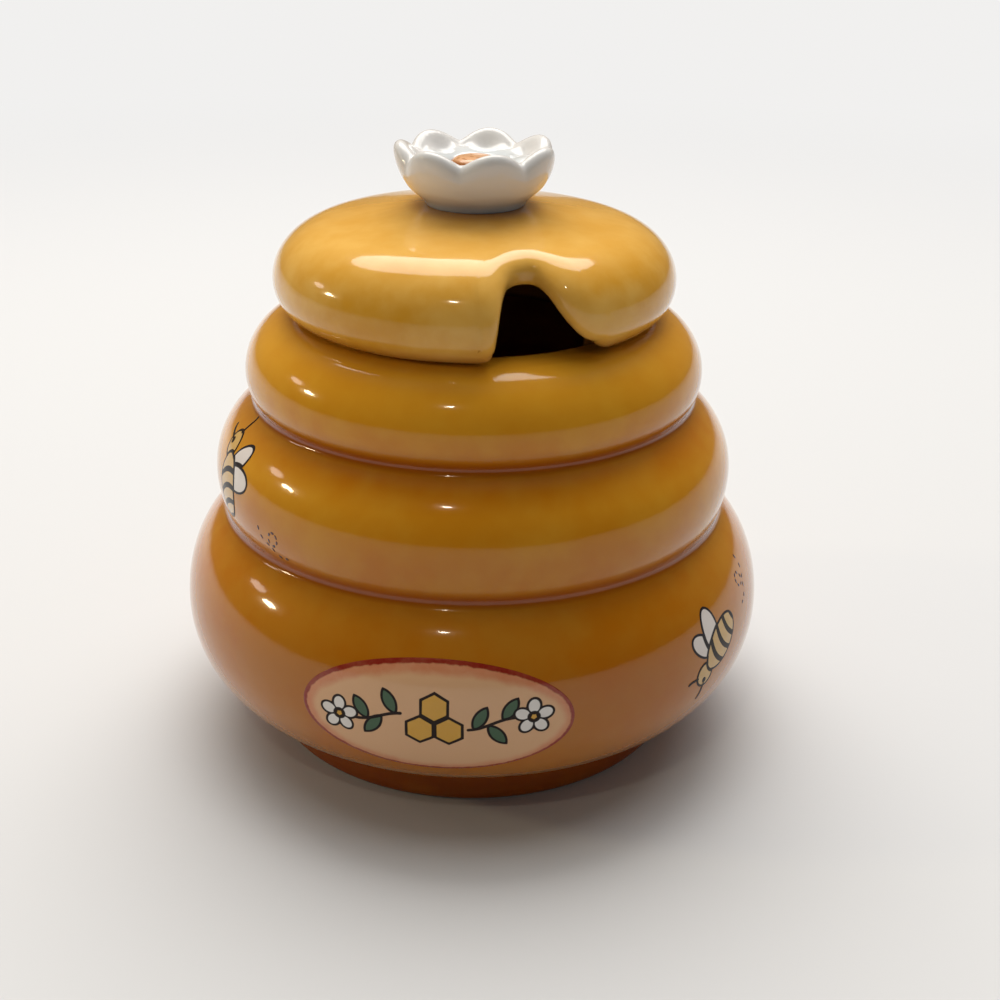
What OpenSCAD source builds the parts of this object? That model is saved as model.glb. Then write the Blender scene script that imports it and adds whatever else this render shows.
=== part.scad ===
// Honey pot in the shape of a beehive: a hollow pot of three bulging rings, a
// domed lid with a notch for a dipper, a flower for a knob, and fired artwork.
// Origin: on the resting plane, on the upright axis. Front is towards -Y.

/* [Pot] */
// Height of the bottom ring, from the foot band to the first groove
belly_h = 36.7; // [34:0.1:39]
// Height of the middle ring, between the grooves
middle_h = 20.2; // [19:0.1:21.5]
// Height of the top ring, from the second groove to the rim
shoulder_h = 15.4; // [14:0.1:17]
// Widest diameter of the bottom ring
belly_d = 106; // [102:1:110]
// Widest diameter of the middle ring
middle_d = 92.8; // [90:0.4:95]
// Widest diameter of the top ring
shoulder_d = 80.8; // [79:0.2:83]
// Clear diameter of the mouth
mouth_d = 53; // [50:0.5:55]
// Outer diameter of the foot
foot_d = 77; // [74:1:80]
// Height of the foot band below the bottom ring
foot_h = 5; // [4:0.2:6]
// Thickness of the pot's wall
pot_wall = 4.2; // [3.6:0.1:4.8]

/* [Lid] */
// Widest diameter of the lid
lid_d = 69.8; // [68:0.2:71.6]
// Height of the lid's widest part above the rim
lid_waist_h = 6; // [5.6:0.1:6.6]
// Height of the rounded part above the lid's widest part
lid_crown_h = 9.7; // [9:0.1:10.4]
// Thickness of the lid's wall
lid_wall = 3.8; // [3.4:0.1:4.2]
// Depth that the lid's locating ring reaches into the mouth
ring_depth = 4.6; // [4:0.2:6]
// Radial play between the locating ring and the mouth
ring_play = 0.9; // [0.6:0.1:1.2]
// Width of the dipper notch at the lid's edge
notch_w = 12.6; // [11:0.2:14]
// Height of the dipper notch above the rim
notch_h = 13.4; // [12:0.2:14]
// Bearing of the dipper notch, from +X
notch_bearing = -75; // [-85:1:-65]

/* [Flower knob] */
// Number of petals
petals = 7; // [6:1:8]
// Diameter of the flower over its petals
flower_d = 27.6; // [26:0.2:29]
// Diameter of the neck that joins the flower to the lid
neck_d = 18; // [17:0.2:18.4]
// Height of the flower above the lid
flower_h = 10.6; // [10:0.2:11.4]
// Diameter of the disc in the middle of the flower
disc_d = 8.6; // [7.6:0.2:9]

/* [Fired artwork] */
// Width of the oval label
label_w = 43.8; // [40:0.4:46]
// Height of the oval label
label_h = 20.4; // [18:0.4:22]
// Bearing of the middle of the label
label_bearing = -96.5; // [-100:0.5:-90]
// Length of a bee from head to tail
bee_len = 17.5; // [15:0.5:18.5]
// Thickness of the fired colour
colour_t = 0.2; // [0.16:0.02:0.3]

/* [Hidden] */
$fn = 96;

belly_r = belly_d / 2;
middle_r = middle_d / 2;
shoulder_r = shoulder_d / 2;
mouth_r = mouth_d / 2;
foot_r = foot_d / 2;
lid_r = lid_d / 2;
flower_r = flower_d / 2;
neck_r = neck_d / 2;

// Heights of the grooves, and of the rim that the lid sits on
low_groove_z = foot_h + belly_h;
high_groove_z = low_groove_z + middle_h;
pot_h = high_groove_z + shoulder_h;

// Heights of the rings' widest parts
belly_z = foot_h + 0.534 * belly_h;
middle_z = low_groove_z + 0.386 * middle_h;
shoulder_z = high_groove_z + 0.344 * shoulder_h;

// Each ring is an upper and a lower piece of an ellipse: reach is its half axis
// outwards, rise its half axis upwards and drop its half axis downwards.
belly_reach_up = 13;
belly_rise = 0.496 * belly_h;
belly_reach_down = 14.7;
belly_drop = 0.466 * belly_h;
middle_reach_up = 14;
middle_rise = 0.69 * middle_h;
middle_reach_down = 7.6;
middle_drop = 0.564 * middle_h;
rim_land = 3.1;
shoulder_reach_up = shoulder_r - mouth_r - rim_land;
shoulder_rise = pot_h - shoulder_z;
shoulder_reach_down = 7;
shoulder_drop = 0.487 * shoulder_h;

// How far each groove is drawn in beyond the ends of its rings
groove_pull = 0.4;
foot_taper = 0.1;
foot_round = 0.8;
foot_land = 4.2;
foot_recess = 1.6;
floor_top = 6.2;
floor_r = 0.72 * foot_r;
corner_r = 1.02 * foot_r;
mouth_round = 1.2;
mouth_flare = 1.5;
mouth_low_z = pot_h - 3.4;

lid_waist_z = pot_h + lid_waist_h;
lid_slope_h = 2.6;
lid_top_z = lid_waist_z + lid_crown_h + lid_slope_h;
lid_reach_up = 12;
lid_reach_down = 5.8;
lid_drop = lid_waist_h + 0.4;
pad_r = neck_r + 0.2;
seat_in = 1.5;
ledge_z = pot_h + 0.85 * lid_wall;
ledge_in = 0.6;
ledge_round = 2.2;
ring_r = mouth_r - ring_play;
ring_wall = 3.4;
ring_round = 0.8;
notch_tilt = 16;
notch_in = 15;
notch_leg = 3;

flower_base_z = lid_top_z;
flower_top_z = flower_base_z + flower_h;
cup_floor_z = flower_base_z + 0.57 * flower_h;
furrow_r = 2.4;
furrow_depth = 1.4;
dip_r = 3;
dip_depth = 2;

disc_h = 2.1;
disc_edge_h = 0.8;
disc_gap = 0.4;

// Bearing, height and turn of each piece of artwork
label_z = belly_z + 0.65;
left_bee_rise = 3;
right_bee_rise = 2.6;
left_trail_fall = 2.6;
right_trail_rise = 9.6;
left_bee_place = [-156, middle_z + left_bee_rise, 113];
right_bee_place = [-37.5, belly_z + right_bee_rise, 215];
left_trail_place = [-135.5, middle_z - left_trail_fall, -30];
right_trail_place = [-23.5, belly_z + right_trail_rise, 62];
bee_scale = bee_len / 15;
flight_l = 4.7;
flight_loop = 1.75;
flight_turn = 540;
dash_l = 0.75;
dash_w = 0.42;
dash_count = 12;

// Points on an ellipse's edge from one angle to another, seen in the section
function bulge(r, z, reach, rise, from, to, n) =
    [for (i = [0:n]) let (a = from + (to - from) * i / n)
        [r - reach + reach * cos(a), z + rise * sin(a)]];

// Points between two ends of a curve that is pulled towards a third point
function ease(a, pull, b, n) =
    [for (i = [1:n - 1]) let (u = i / n)
        (1 - u) * (1 - u) * a + 2 * u * (1 - u) * pull + u * u * b];

// Points of an outline that climbs, moved outwards by a distance
function beside(path, d) =
    [for (i = [0:len(path) - 1])
        let (a = path[max(i - 1, 0)], b = path[min(i + 1, len(path) - 1)])
        let (t = (b - a) / norm(b - a))
        path[i] + d * [t[1], -t[0]]];

function last(path) = path[len(path) - 1];
function turned(path) = [for (i = [len(path) - 1:-1:0]) path[i]];
function slice(path, from, to) = [for (i = [from:to]) path[i]];

// The point that draws a groove inwards between two rings
function groove(low, high) = [min(low[0], high[0]) - groove_pull, (low[1] + high[1]) / 2];

belly_low = bulge(belly_r, belly_z, belly_reach_down, belly_drop, -78, 0, 13);
belly_high = bulge(belly_r, belly_z, belly_reach_up, belly_rise, 6, 61, 9);
middle_low = bulge(middle_r, middle_z, middle_reach_down, middle_drop, -36, 0, 6);
middle_high = bulge(middle_r, middle_z, middle_reach_up, middle_rise, 6, 55, 8);
shoulder_low = bulge(shoulder_r, shoulder_z, shoulder_reach_down, shoulder_drop, -35, 0, 6);
shoulder_high = bulge(shoulder_r, shoulder_z, shoulder_reach_up, shoulder_rise, 8, 90, 11);

rings = concat(
    belly_low, belly_high,
    ease(last(belly_high), groove(last(belly_high), middle_low[0]), middle_low[0], 4),
    middle_low, middle_high,
    ease(last(middle_high), groove(last(middle_high), shoulder_low[0]), shoulder_low[0], 4),
    shoulder_low, shoulder_high);

foot = concat(
    [[foot_r - foot_round, 0], [foot_r - 0.25 * foot_round, 0.25 * foot_round]],
    [[foot_r, foot_round], [foot_r + foot_taper, foot_h]],
    ease([foot_r + foot_taper, foot_h], [foot_r, belly_low[0][1] - foot_taper], belly_low[0], 4));

// The inside follows the rings at the wall's thickness
inside_from = 5;
inside_to = len(rings) - 6;
inside_wall = slice(beside(rings, -pot_wall), inside_from, inside_to);
inside_floor = concat(
    [[0, floor_top], [floor_r, floor_top]],
    ease([floor_r, floor_top], [corner_r, floor_top], inside_wall[0], 6));
inside_mouth = concat(
    ease(last(inside_wall), [mouth_r + mouth_flare, mouth_low_z - 1], [mouth_r, mouth_low_z], 4),
    [[mouth_r, mouth_low_z], [mouth_r, pot_h - mouth_round]],
    ease([mouth_r, pot_h - mouth_round], [mouth_r, pot_h], [mouth_r + mouth_round, pot_h], 4),
    [[mouth_r + mouth_round, pot_h]]);
foot_underside = [
    [foot_r - foot_land, 0], [foot_r - foot_land - foot_recess, foot_recess], [0, foot_recess]];

lid_low = bulge(lid_r, lid_waist_z, lid_reach_down, lid_drop, -62, 0, 8);
lid_high = bulge(lid_r, lid_waist_z, lid_reach_up, lid_crown_h, 7, 78, 11);
lid_outside = concat([[lid_low[0][0] - seat_in, pot_h]], lid_low, lid_high,
    [[pad_r, lid_top_z], [0, lid_top_z]]);
lid_inside_wall = turned(slice(beside(concat(lid_low, lid_high), -lid_wall), 5, 18));
ledge = [ring_r - ledge_in, ledge_z];
lid_inside = concat(
    [[0, lid_top_z - lid_wall], [neck_r - 2, lid_top_z - lid_wall]],
    lid_inside_wall,
    ease(last(lid_inside_wall), [last(lid_inside_wall)[0] - 0.4, ledge_z], ledge, 4),
    [ledge],
    ease(ledge, [ring_r - ring_wall, ledge_z], [ring_r - ring_wall, ledge_z - ledge_round], 4));
locating_ring = [
    [ring_r - ring_wall, ledge_z - ledge_round],
    [ring_r - ring_wall, pot_h - ring_depth + ring_round],
    [ring_r - ring_wall + ring_round, pot_h - ring_depth],
    [ring_r - ring_round, pot_h - ring_depth],
    [ring_r, pot_h - ring_depth + ring_round],
    [ring_r, pot_h]];

module pot() {
    color([0.80, 0.53, 0.13])
    rotate_extrude()
        polygon(concat(foot, rings, turned(inside_mouth), turned(inside_wall),
            turned(inside_floor), turned(foot_underside)));
}

// An arch: straight legs below, and a round top that narrows upwards
module arch(w, h, leg) {
    top = [for (a = [0:10:180])
        [sign(cos(a)) * w / 2 * pow(abs(cos(a)), 0.75), h * sin(a)]];
    polygon(concat(top, [[-w / 2, -leg], [w / 2, -leg]]));
}

module lid() {
    color([0.83, 0.57, 0.17])
    difference() {
        rotate_extrude()
            polygon(concat(lid_outside, lid_inside, locating_ring));
        rotate([0, 0, notch_bearing])
        translate([notch_in, 0, pot_h])
        rotate([0, -notch_tilt, 0])
        rotate([90, 0, 90])
        translate([0, -notch_leg - ring_depth, 0])
        linear_extrude(height = lid_r)
            arch(notch_w, notch_h + notch_leg, ring_depth + notch_leg);
    }
}

module around(count, first) {
    for (i = [0:count - 1])
        rotate([0, 0, first + 360 * i / count])
            children();
}

cup_outside = bulge(flower_r, flower_base_z + 0.79 * flower_h,
    0.435 * flower_r, 0.765 * flower_h, -72, 0, 9);
cup_rim = [
    [flower_r - 0.5, flower_top_z - 0.8], [flower_r - 1.3, flower_top_z],
    [flower_r - 2.1, flower_top_z - 0.2], [flower_r - 2.9, flower_top_z - 1]];
cup_floor_edge = [disc_d / 2 + disc_gap, cup_floor_z];
cup_inside = concat(
    ease(last(cup_rim), [0.62 * flower_r, cup_floor_z], cup_floor_edge, 6),
    [cup_floor_edge, [0, cup_floor_z]]);

module flower_knob() {
    color([0.95, 0.94, 0.92])
    difference() {
        rotate_extrude()
            polygon(concat([[0, flower_base_z], [neck_r, flower_base_z]],
                cup_outside, cup_rim, cup_inside));
        // Furrows down the outside between the petals
        around(petals, notch_bearing + 180 / petals)
            translate([flower_r + furrow_r - furrow_depth, 0, flower_base_z + 1])
                cylinder(r = furrow_r, h = flower_h);
        // Dips in the rim between the petals
        around(petals, notch_bearing + 180 / petals)
            translate([0.5 * flower_r, 0, flower_top_z + dip_r - dip_depth])
                rotate([0, 90, 0])
                    cylinder(r = dip_r, h = flower_r);
    }
}

module flower_disc() {
    color([0.78, 0.50, 0.22])
    rotate_extrude()
        polygon(concat([[0, cup_floor_z], [disc_d / 2, cup_floor_z]],
            bulge(disc_d / 2, cup_floor_z + disc_edge_h, disc_d / 2, disc_h - disc_edge_h, 0, 90, 8)));
}

// A thin shell that follows the rings between two heights
module fired_colour(low, high) {
    band = [for (p = rings) if (p[1] > low && p[1] < high) p];
    intersection() {
        rotate_extrude()
            polygon(concat(band, turned(beside(band, colour_t))));
        children();
    }
}

// Pushes a flat outline through the wall at a bearing and a height
module stamp(bearing, z) {
    rotate([0, 0, bearing])
    translate([0.6 * belly_r, 0, z])
    rotate([90, 0, 90])
    linear_extrude(height = 0.5 * belly_r)
        children();
}

module oval(w, h) {
    polygon([for (a = [0:9:351]) [w / 2 * cos(a), h / 2 * sin(a)]]);
}

module bee_outline() {
    scale(bee_scale)
    union() {
        translate([-1.2, 0]) oval(9.6, 6);
        translate([4.6, 0.2]) oval(4.4, 4.2);
        translate([-0.6, -3.9]) rotate(-112) oval(7, 3.8);
        translate([2.2, -3.7]) rotate(-72) oval(6, 3.4);
    }
}

// Position along a flight path that makes one loop, from 0 to 1
function flight(u) = [
    flight_l * (u - 0.5) - flight_loop * sin(flight_turn * (u - 0.5)),
    flight_loop * cos(flight_turn * (u - 0.5))];

module dashes() {
    for (i = [0:dash_count - 1]) {
        u = (i + 0.5) / dash_count;
        step = flight(u + 0.01) - flight(u - 0.01);
        translate(flight(u))
        rotate(atan2(step[1], step[0]))
            square([dash_l, dash_w], center = true);
    }
}

module oval_label() {
    color([0.93, 0.86, 0.74])
    fired_colour(label_z - 0.75 * label_h, label_z + 0.75 * label_h)
        stamp(label_bearing, label_z) oval(label_w, label_h);
}

module bee(place) {
    color([0.80, 0.72, 0.52])
    fired_colour(place[1] - 0.9 * bee_len, place[1] + 0.9 * bee_len)
        stamp(place[0], place[1]) rotate(place[2]) bee_outline();
}

module trail(place) {
    color([0.15, 0.06, 0.05])
    fired_colour(place[1] - 0.9 * bee_len, place[1] + 0.9 * bee_len)
        stamp(place[0], place[1]) rotate(place[2]) dashes();
}

module left_bee() { bee(left_bee_place); }
module right_bee() { bee(right_bee_place); }
module left_trail() { trail(left_trail_place); }
module right_trail() { trail(right_trail_place); }

pot();
lid();
flower_knob();
flower_disc();
oval_label();
left_bee();
right_bee();
left_trail();
right_trail();
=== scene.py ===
"""Looks of a beehive honey pot: glazed pot, domed lid with a notch, flower knob and fired artwork.

Every new piece is worked out with numpy in millimetres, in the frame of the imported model, and laid over
the CAD node that it stands for.
"""

import logging
import math
from dataclasses import dataclass, field
from enum import Enum
from typing import ClassVar

import bpy
import numpy as np
from mathutils import Matrix, Vector


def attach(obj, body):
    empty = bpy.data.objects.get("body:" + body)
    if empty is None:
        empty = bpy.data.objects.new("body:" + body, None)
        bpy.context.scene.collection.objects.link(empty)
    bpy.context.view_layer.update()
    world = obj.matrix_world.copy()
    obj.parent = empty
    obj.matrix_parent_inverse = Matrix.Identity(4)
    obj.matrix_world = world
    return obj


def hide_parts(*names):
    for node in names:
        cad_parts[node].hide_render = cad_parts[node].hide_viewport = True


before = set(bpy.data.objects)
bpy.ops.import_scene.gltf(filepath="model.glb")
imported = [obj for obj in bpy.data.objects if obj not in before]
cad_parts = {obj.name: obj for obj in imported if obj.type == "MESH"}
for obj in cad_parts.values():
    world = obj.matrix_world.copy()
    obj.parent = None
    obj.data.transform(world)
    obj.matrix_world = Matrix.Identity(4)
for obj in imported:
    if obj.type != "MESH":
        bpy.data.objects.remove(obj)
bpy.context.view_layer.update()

LOG = logging.getLogger("honey_pot")
MM = 0.001
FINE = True

Rgb = tuple[float, float, float]
Point = tuple[float, float]


class Body(Enum):
    """The CAD bodies that the pieces ride on."""

    POT = "pot"
    LID = "lid"


class Slot(Enum):
    """The record's material slots."""

    POT = "pot_glaze"
    LID = "lid_glaze"
    WHITE = "white_glaze"
    DISC = "disc_glaze"
    LABEL = "label_colour"
    BEE = "bee_colour"
    TRAIL = "trail_colour"


# ---- Curves ----


def arc(centre: tuple[float, float], reach: float, rise: float, start: float, end: float) -> np.ndarray:
    """Part of an ellipse: centre + (reach * cos a, rise * sin a), a from start to end in degrees.

    Args:
        centre: Radius and height of the ellipse's middle, in mm.
        reach: Half axis outwards, in mm.
        rise: Half axis upwards, in mm.
        start: First angle in degrees.
        end: Last angle in degrees.

    Returns:
        Points as rows of (radius, height).
    """
    a = np.radians(np.linspace(start, end, max(8, int(abs(end - start) / 1.5))))
    return np.stack([centre[0] + reach * np.cos(a), centre[1] + rise * np.sin(a)], axis=1)


def ease(a: np.ndarray, pull: np.ndarray, b: np.ndarray, count: int = 12) -> np.ndarray:
    """Inner points of the quadratic curve (1-u)^2 a + 2u(1-u) pull + u^2 b.

    Args:
        a: First end.
        pull: Point that the curve is drawn towards.
        b: Last end.
        count: Number of steps.

    Returns:
        The points between the ends, as rows.
    """
    u = np.linspace(0.0, 1.0, count + 1)[1:-1, None]
    return (1 - u) ** 2 * np.asarray(a) + 2 * u * (1 - u) * np.asarray(pull) + u**2 * np.asarray(b)


def step_up(x: np.ndarray, low: float, high: float) -> np.ndarray:
    """The smooth step 3t^2 - 2t^3 with t = (x - low) / (high - low), held to 0..1."""
    t = np.clip((x - low) / (high - low), 0.0, 1.0)
    return t * t * (3.0 - 2.0 * t)


def soften(values: np.ndarray, spread: float, reach: float = 3.0) -> np.ndarray:
    """A running Gaussian mean down the rows, with both ends carried on by odd reflection.

    Args:
        values: One or more columns of numbers.
        spread: Spread of the Gaussian, in rows.
        reach: Half width of the mean, in spreads.

    Returns:
        The smoothed numbers, in the same shape.
    """
    rows = values.reshape(len(values), -1)
    half = max(1, min(int(reach * spread), len(rows) - 1))
    kernel = np.exp(-0.5 * (np.arange(-half, half + 1) / spread) ** 2)
    kernel /= kernel.sum()
    padded = np.concatenate([2 * rows[0] - rows[half:0:-1], rows, 2 * rows[-1] - rows[-2 : -half - 2 : -1]])
    return np.stack([np.convolve(c, kernel, mode="valid") for c in padded.T], axis=1).reshape(values.shape)


class Outline:
    """A polyline read at any length along it, after its corners are rounded.

    The rounding is a running Gaussian mean over the length, with both ends held.
    """

    def __init__(self, points: np.ndarray, rounding: float, grain: float = 0.1) -> None:
        """Resamples and rounds the points.

        Args:
            points: Rows of coordinates in mm.
            rounding: Spread of the Gaussian in mm.
            grain: Spacing of the resampled points in mm.
        """
        steps = np.linalg.norm(np.diff(points, axis=0), axis=1)
        moved = steps > 1e-9
        points = points[np.concatenate([[True], moved])]
        along = np.concatenate([[0.0], np.cumsum(steps[moved])])
        s = np.linspace(0.0, along[-1], int(along[-1] / grain) + 2)
        dense = np.stack([np.interp(s, along, column) for column in points.T], axis=1)
        self.points = soften(dense, rounding / (s[1] - s[0]), reach=4.0)
        lengths = np.linalg.norm(np.diff(self.points, axis=0), axis=1)
        self.along = np.concatenate([[0.0], np.cumsum(lengths)])

    @property
    def length(self) -> float:
        """Whole length in mm."""
        return float(self.along[-1])

    def at(self, s: np.ndarray) -> np.ndarray:
        """Points at lengths s, by straight interpolation between the dense points."""
        return np.stack([np.interp(s, self.along, column) for column in self.points.T], axis=-1)

    def side(self, s: np.ndarray) -> np.ndarray:
        """Unit normals to the right of the way: (t_y, -t_x) for the unit tangent t.

        Args:
            s: Lengths in mm.

        Returns:
            One normal for each length.
        """
        t = self.at(np.clip(s + 0.1, 0, self.length)) - self.at(np.clip(s - 0.1, 0, self.length))
        t /= np.maximum(np.linalg.norm(t, axis=-1, keepdims=True), 1e-9)
        return np.stack([t[..., 1], -t[..., 0]], axis=-1)


# ---- Meshes ----


def faces_of_grid(rows: int, cols: int, wrap: bool = True, poles: bool = False) -> np.ndarray:
    """Corner numbers of the quads of a grid of rows x cols points.

    Args:
        rows: Number of rows.
        cols: Number of columns.
        wrap: True if the last column joins the first.
        poles: True if all points of the first row are one point, and all of the last row too.

    Returns:
        An array with one row of four numbers for each quad.
    """
    last = cols if wrap else cols - 1
    i, j = np.meshgrid(np.arange(rows - 1), np.arange(last), indexing="ij")
    k = (j + 1) % cols
    quads = np.stack([i * cols + j, i * cols + k, (i + 1) * cols + k, (i + 1) * cols + j], axis=-1).reshape(-1, 4)
    row = quads // cols
    return np.where(poles & ((row == 0) | (row == rows - 1)), row * cols, quads)


def relax(x: np.ndarray, y: np.ndarray, rounds: int) -> tuple[np.ndarray, np.ndarray]:
    """Evens out a flat grid whose border is held, by Winslow's equations.

    With r = (x, y), a = |r_v|^2, b = r_u . r_v and c = |r_u|^2 for the steps u along a row and v down a column,
    each point goes to the balance of a r_uu - 2 b r_uv + c r_vv = 0, over and over.

    Args:
        x: Grid of the first coordinate.
        y: Grid of the second coordinate.
        rounds: Number of rounds.

    Returns:
        The two grids, free of folds.
    """
    r = np.stack([x, y])
    for _ in range(rounds):
        up, down, back, ahead = r[:, :-2, 1:-1], r[:, 2:, 1:-1], r[:, 1:-1, :-2], r[:, 1:-1, 2:]
        ru, rv = (ahead - back) / 2, (down - up) / 2
        a, b, c = (rv * rv).sum(axis=0), (ru * rv).sum(axis=0), (ru * ru).sum(axis=0)
        cross = (r[:, 2:, 2:] - r[:, 2:, :-2] - r[:, :-2, 2:] + r[:, :-2, :-2]) / 2
        r[:, 1:-1, 1:-1] = (a * (ahead + back) + c * (up + down) - b * cross) / (2 * (a + c) + 1e-12)
    return r[0], r[1]


def volume_of(points: np.ndarray, quads: np.ndarray) -> float:
    """Six times the signed volume of a closed mesh: the sum of a . (b x c) over its triangles."""
    a, b, c, d = (points[quads[:, k]] for k in range(4))
    return float(np.einsum("ij,ij->", a, np.cross(b, c)) + np.einsum("ij,ij->", a, np.cross(c, d)))


class Piece:
    """One finished mesh of the object, with its masks, riding on a CAD body."""

    def __init__(
        self, name: str, points: np.ndarray, quads: np.ndarray, masks: dict[str, np.ndarray] | None = None
    ) -> None:
        """Builds the closed mesh, joins points that coincide in a face and turns the faces outward.

        Args:
            name: Name of the piece.
            points: Rows of x, y, z in mm.
            quads: Rows of four point numbers, where two may be the same.
            masks: One value for each point, by attribute name.
        """
        if volume_of(points, quads) < 0:
            quads = quads[:, ::-1]
        used, back = np.unique(quads, return_inverse=True)
        points, quads = points[used], back.reshape(quads.shape)
        same = (quads == np.roll(quads, -1, axis=1)).any(axis=1)
        faces = quads[~same].tolist() + [list(dict.fromkeys(q)) for q in quads[same].tolist()]
        mesh = bpy.data.meshes.new(name)
        mesh.from_pydata((points * MM).tolist(), [], [f for f in faces if len(f) > 2])
        for key, values in (masks or {}).items():
            layer = mesh.attributes.new(key, "FLOAT", "POINT")
            layer.data.foreach_set("value", np.asarray(values, dtype=np.float32).ravel()[used])
        mesh.polygons.foreach_set("use_smooth", np.ones(len(mesh.polygons), dtype=bool))
        mesh.update()
        self.name = name
        self.obj = bpy.data.objects.new(name, mesh)
        bpy.context.scene.collection.objects.link(self.obj)

    def dress(self, material: bpy.types.Material, slot: Slot) -> "Piece":
        """Gives the piece its material.

        Args:
            material: The finished material.
            slot: The record's slot; not used.

        Returns:
            The piece itself.
        """
        self.obj.data.materials.append(material)
        return self

    def stand_for(self, body: Body, *nodes: str) -> "Piece":
        """Lets the piece ride on a body and stand for the named CAD nodes.

        Args:
            body: The CAD body.
            nodes: Names of the CAD nodes, or none.

        Returns:
            The piece itself.
        """
        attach(self.obj, body.value)
        if nodes:
            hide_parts(*nodes)
        LOG.info("%s: %d faces", self.name, len(self.obj.data.polygons))
        return self


def turned(path: np.ndarray, count: int) -> tuple[np.ndarray, np.ndarray]:
    """A surface of revolution: (r cos a, r sin a, z) for each (r, z) of the path and count angles a.

    Args:
        path: Rows of (radius, height), from the axis back to the axis.
        count: Number of angles.

    Returns:
        The points, and the quads with one point only for each end of the path.
    """
    a = np.linspace(0.0, 2 * math.pi, count, endpoint=False)
    r, z = np.maximum(path[:, 0], 0.0)[:, None], path[:, 1][:, None]
    grid = np.stack([r * np.cos(a), r * np.sin(a), np.broadcast_to(z, (len(path), count))], axis=-1)
    return grid.reshape(-1, 3), faces_of_grid(len(path), count, poles=True)


def point_normals(points: np.ndarray, quads: np.ndarray) -> np.ndarray:
    """Unit normals at the points: the mean of the normals of the quads around each, by area.

    Args:
        points: Rows of x, y, z.
        quads: Rows of four point numbers.

    Returns:
        One normal for each point.
    """
    a, b, c, d = (points[quads[:, k]] for k in range(4))
    n = np.cross(c - a, d - b)
    total = np.zeros_like(points)
    for k in range(4):
        np.add.at(total, quads[:, k], n)
    return total / np.maximum(np.linalg.norm(total, axis=1, keepdims=True), 1e-12)


# ---- Materials ----

Value = float | bpy.types.NodeSocket
Shade = Rgb | bpy.types.NodeSocket


class Graph:
    """Adds nodes to one node tree and links them as it goes."""

    def __init__(self, tree: bpy.types.NodeTree) -> None:
        """Keeps the tree and starts at its left."""
        self.tree = tree
        self.count = 0

    def feed(self, node: bpy.types.Node, key: str | int, value: Value) -> None:
        """Links a socket to a node's input, or writes a plain value there.

        Args:
            node: The node.
            key: Name or number of its input.
            value: Value or socket.
        """
        if isinstance(value, bpy.types.NodeSocket):
            self.tree.links.new(value, node.inputs[key])
        else:
            node.inputs[key].default_value = value

    def add(self, kind: str, feeds: dict | None = None, **settings: object) -> bpy.types.Node:
        """Adds a node.

        Args:
            kind: Node type, without the words ShaderNode in front.
            feeds: Value or socket for each input, by name or number.
            settings: Properties of the node.

        Returns:
            The node.
        """
        node = self.tree.nodes.new("ShaderNode" + kind)
        node.location = (190 * (self.count % 12), -260 * (self.count // 12))
        self.count += 1
        for key, value in settings.items():
            setattr(node, key, value)
        for key, value in (feeds or {}).items():
            self.feed(node, key, value)
        return node

    def math(self, operation: str, *values: Value) -> bpy.types.NodeSocket:
        """The output of a Math node with these values or sockets."""
        return self.add("Math", dict(enumerate(values)), operation=operation).outputs[0]

    def span(
        self, value: Value, low: Value, high: Value, start: float = 0.0, end: float = 1.0
    ) -> bpy.types.NodeSocket:
        """The value carried smoothly from low..high to start..end."""
        feeds = {"Value": value, "From Min": low, "From Max": high, "To Min": start, "To Max": end}
        return self.add("MapRange", feeds, interpolation_type="SMOOTHSTEP").outputs["Result"]

    def ramp(self, value: Value, start: float, end: float) -> bpy.types.NodeSocket:
        """The value carried straight from 0..1 to start..end."""
        return self.add("MapRange", {"Value": value, "To Min": start, "To Max": end}).outputs["Result"]

    def blend(self, factor: Value, a: Shade, b: Shade) -> bpy.types.NodeSocket:
        """The colour between a and b at a factor."""
        a, b = (v if isinstance(v, bpy.types.NodeSocket) else (*v, 1.0) for v in (a, b))
        return self.add("Mix", {0: factor, 6: a, 7: b}, data_type="RGBA").outputs[2]

    def mask(self, name: str) -> bpy.types.NodeSocket:
        """The value of a mesh attribute."""
        return self.add("Attribute", attribute_name=name).outputs["Fac"]

    def run(self, effect: bpy.types.NodeTree, **feeds: Value) -> bpy.types.NodeSocket:
        """The output of a group node that runs an effect."""
        return self.add("Group", feeds, node_tree=effect).outputs[0]


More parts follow.
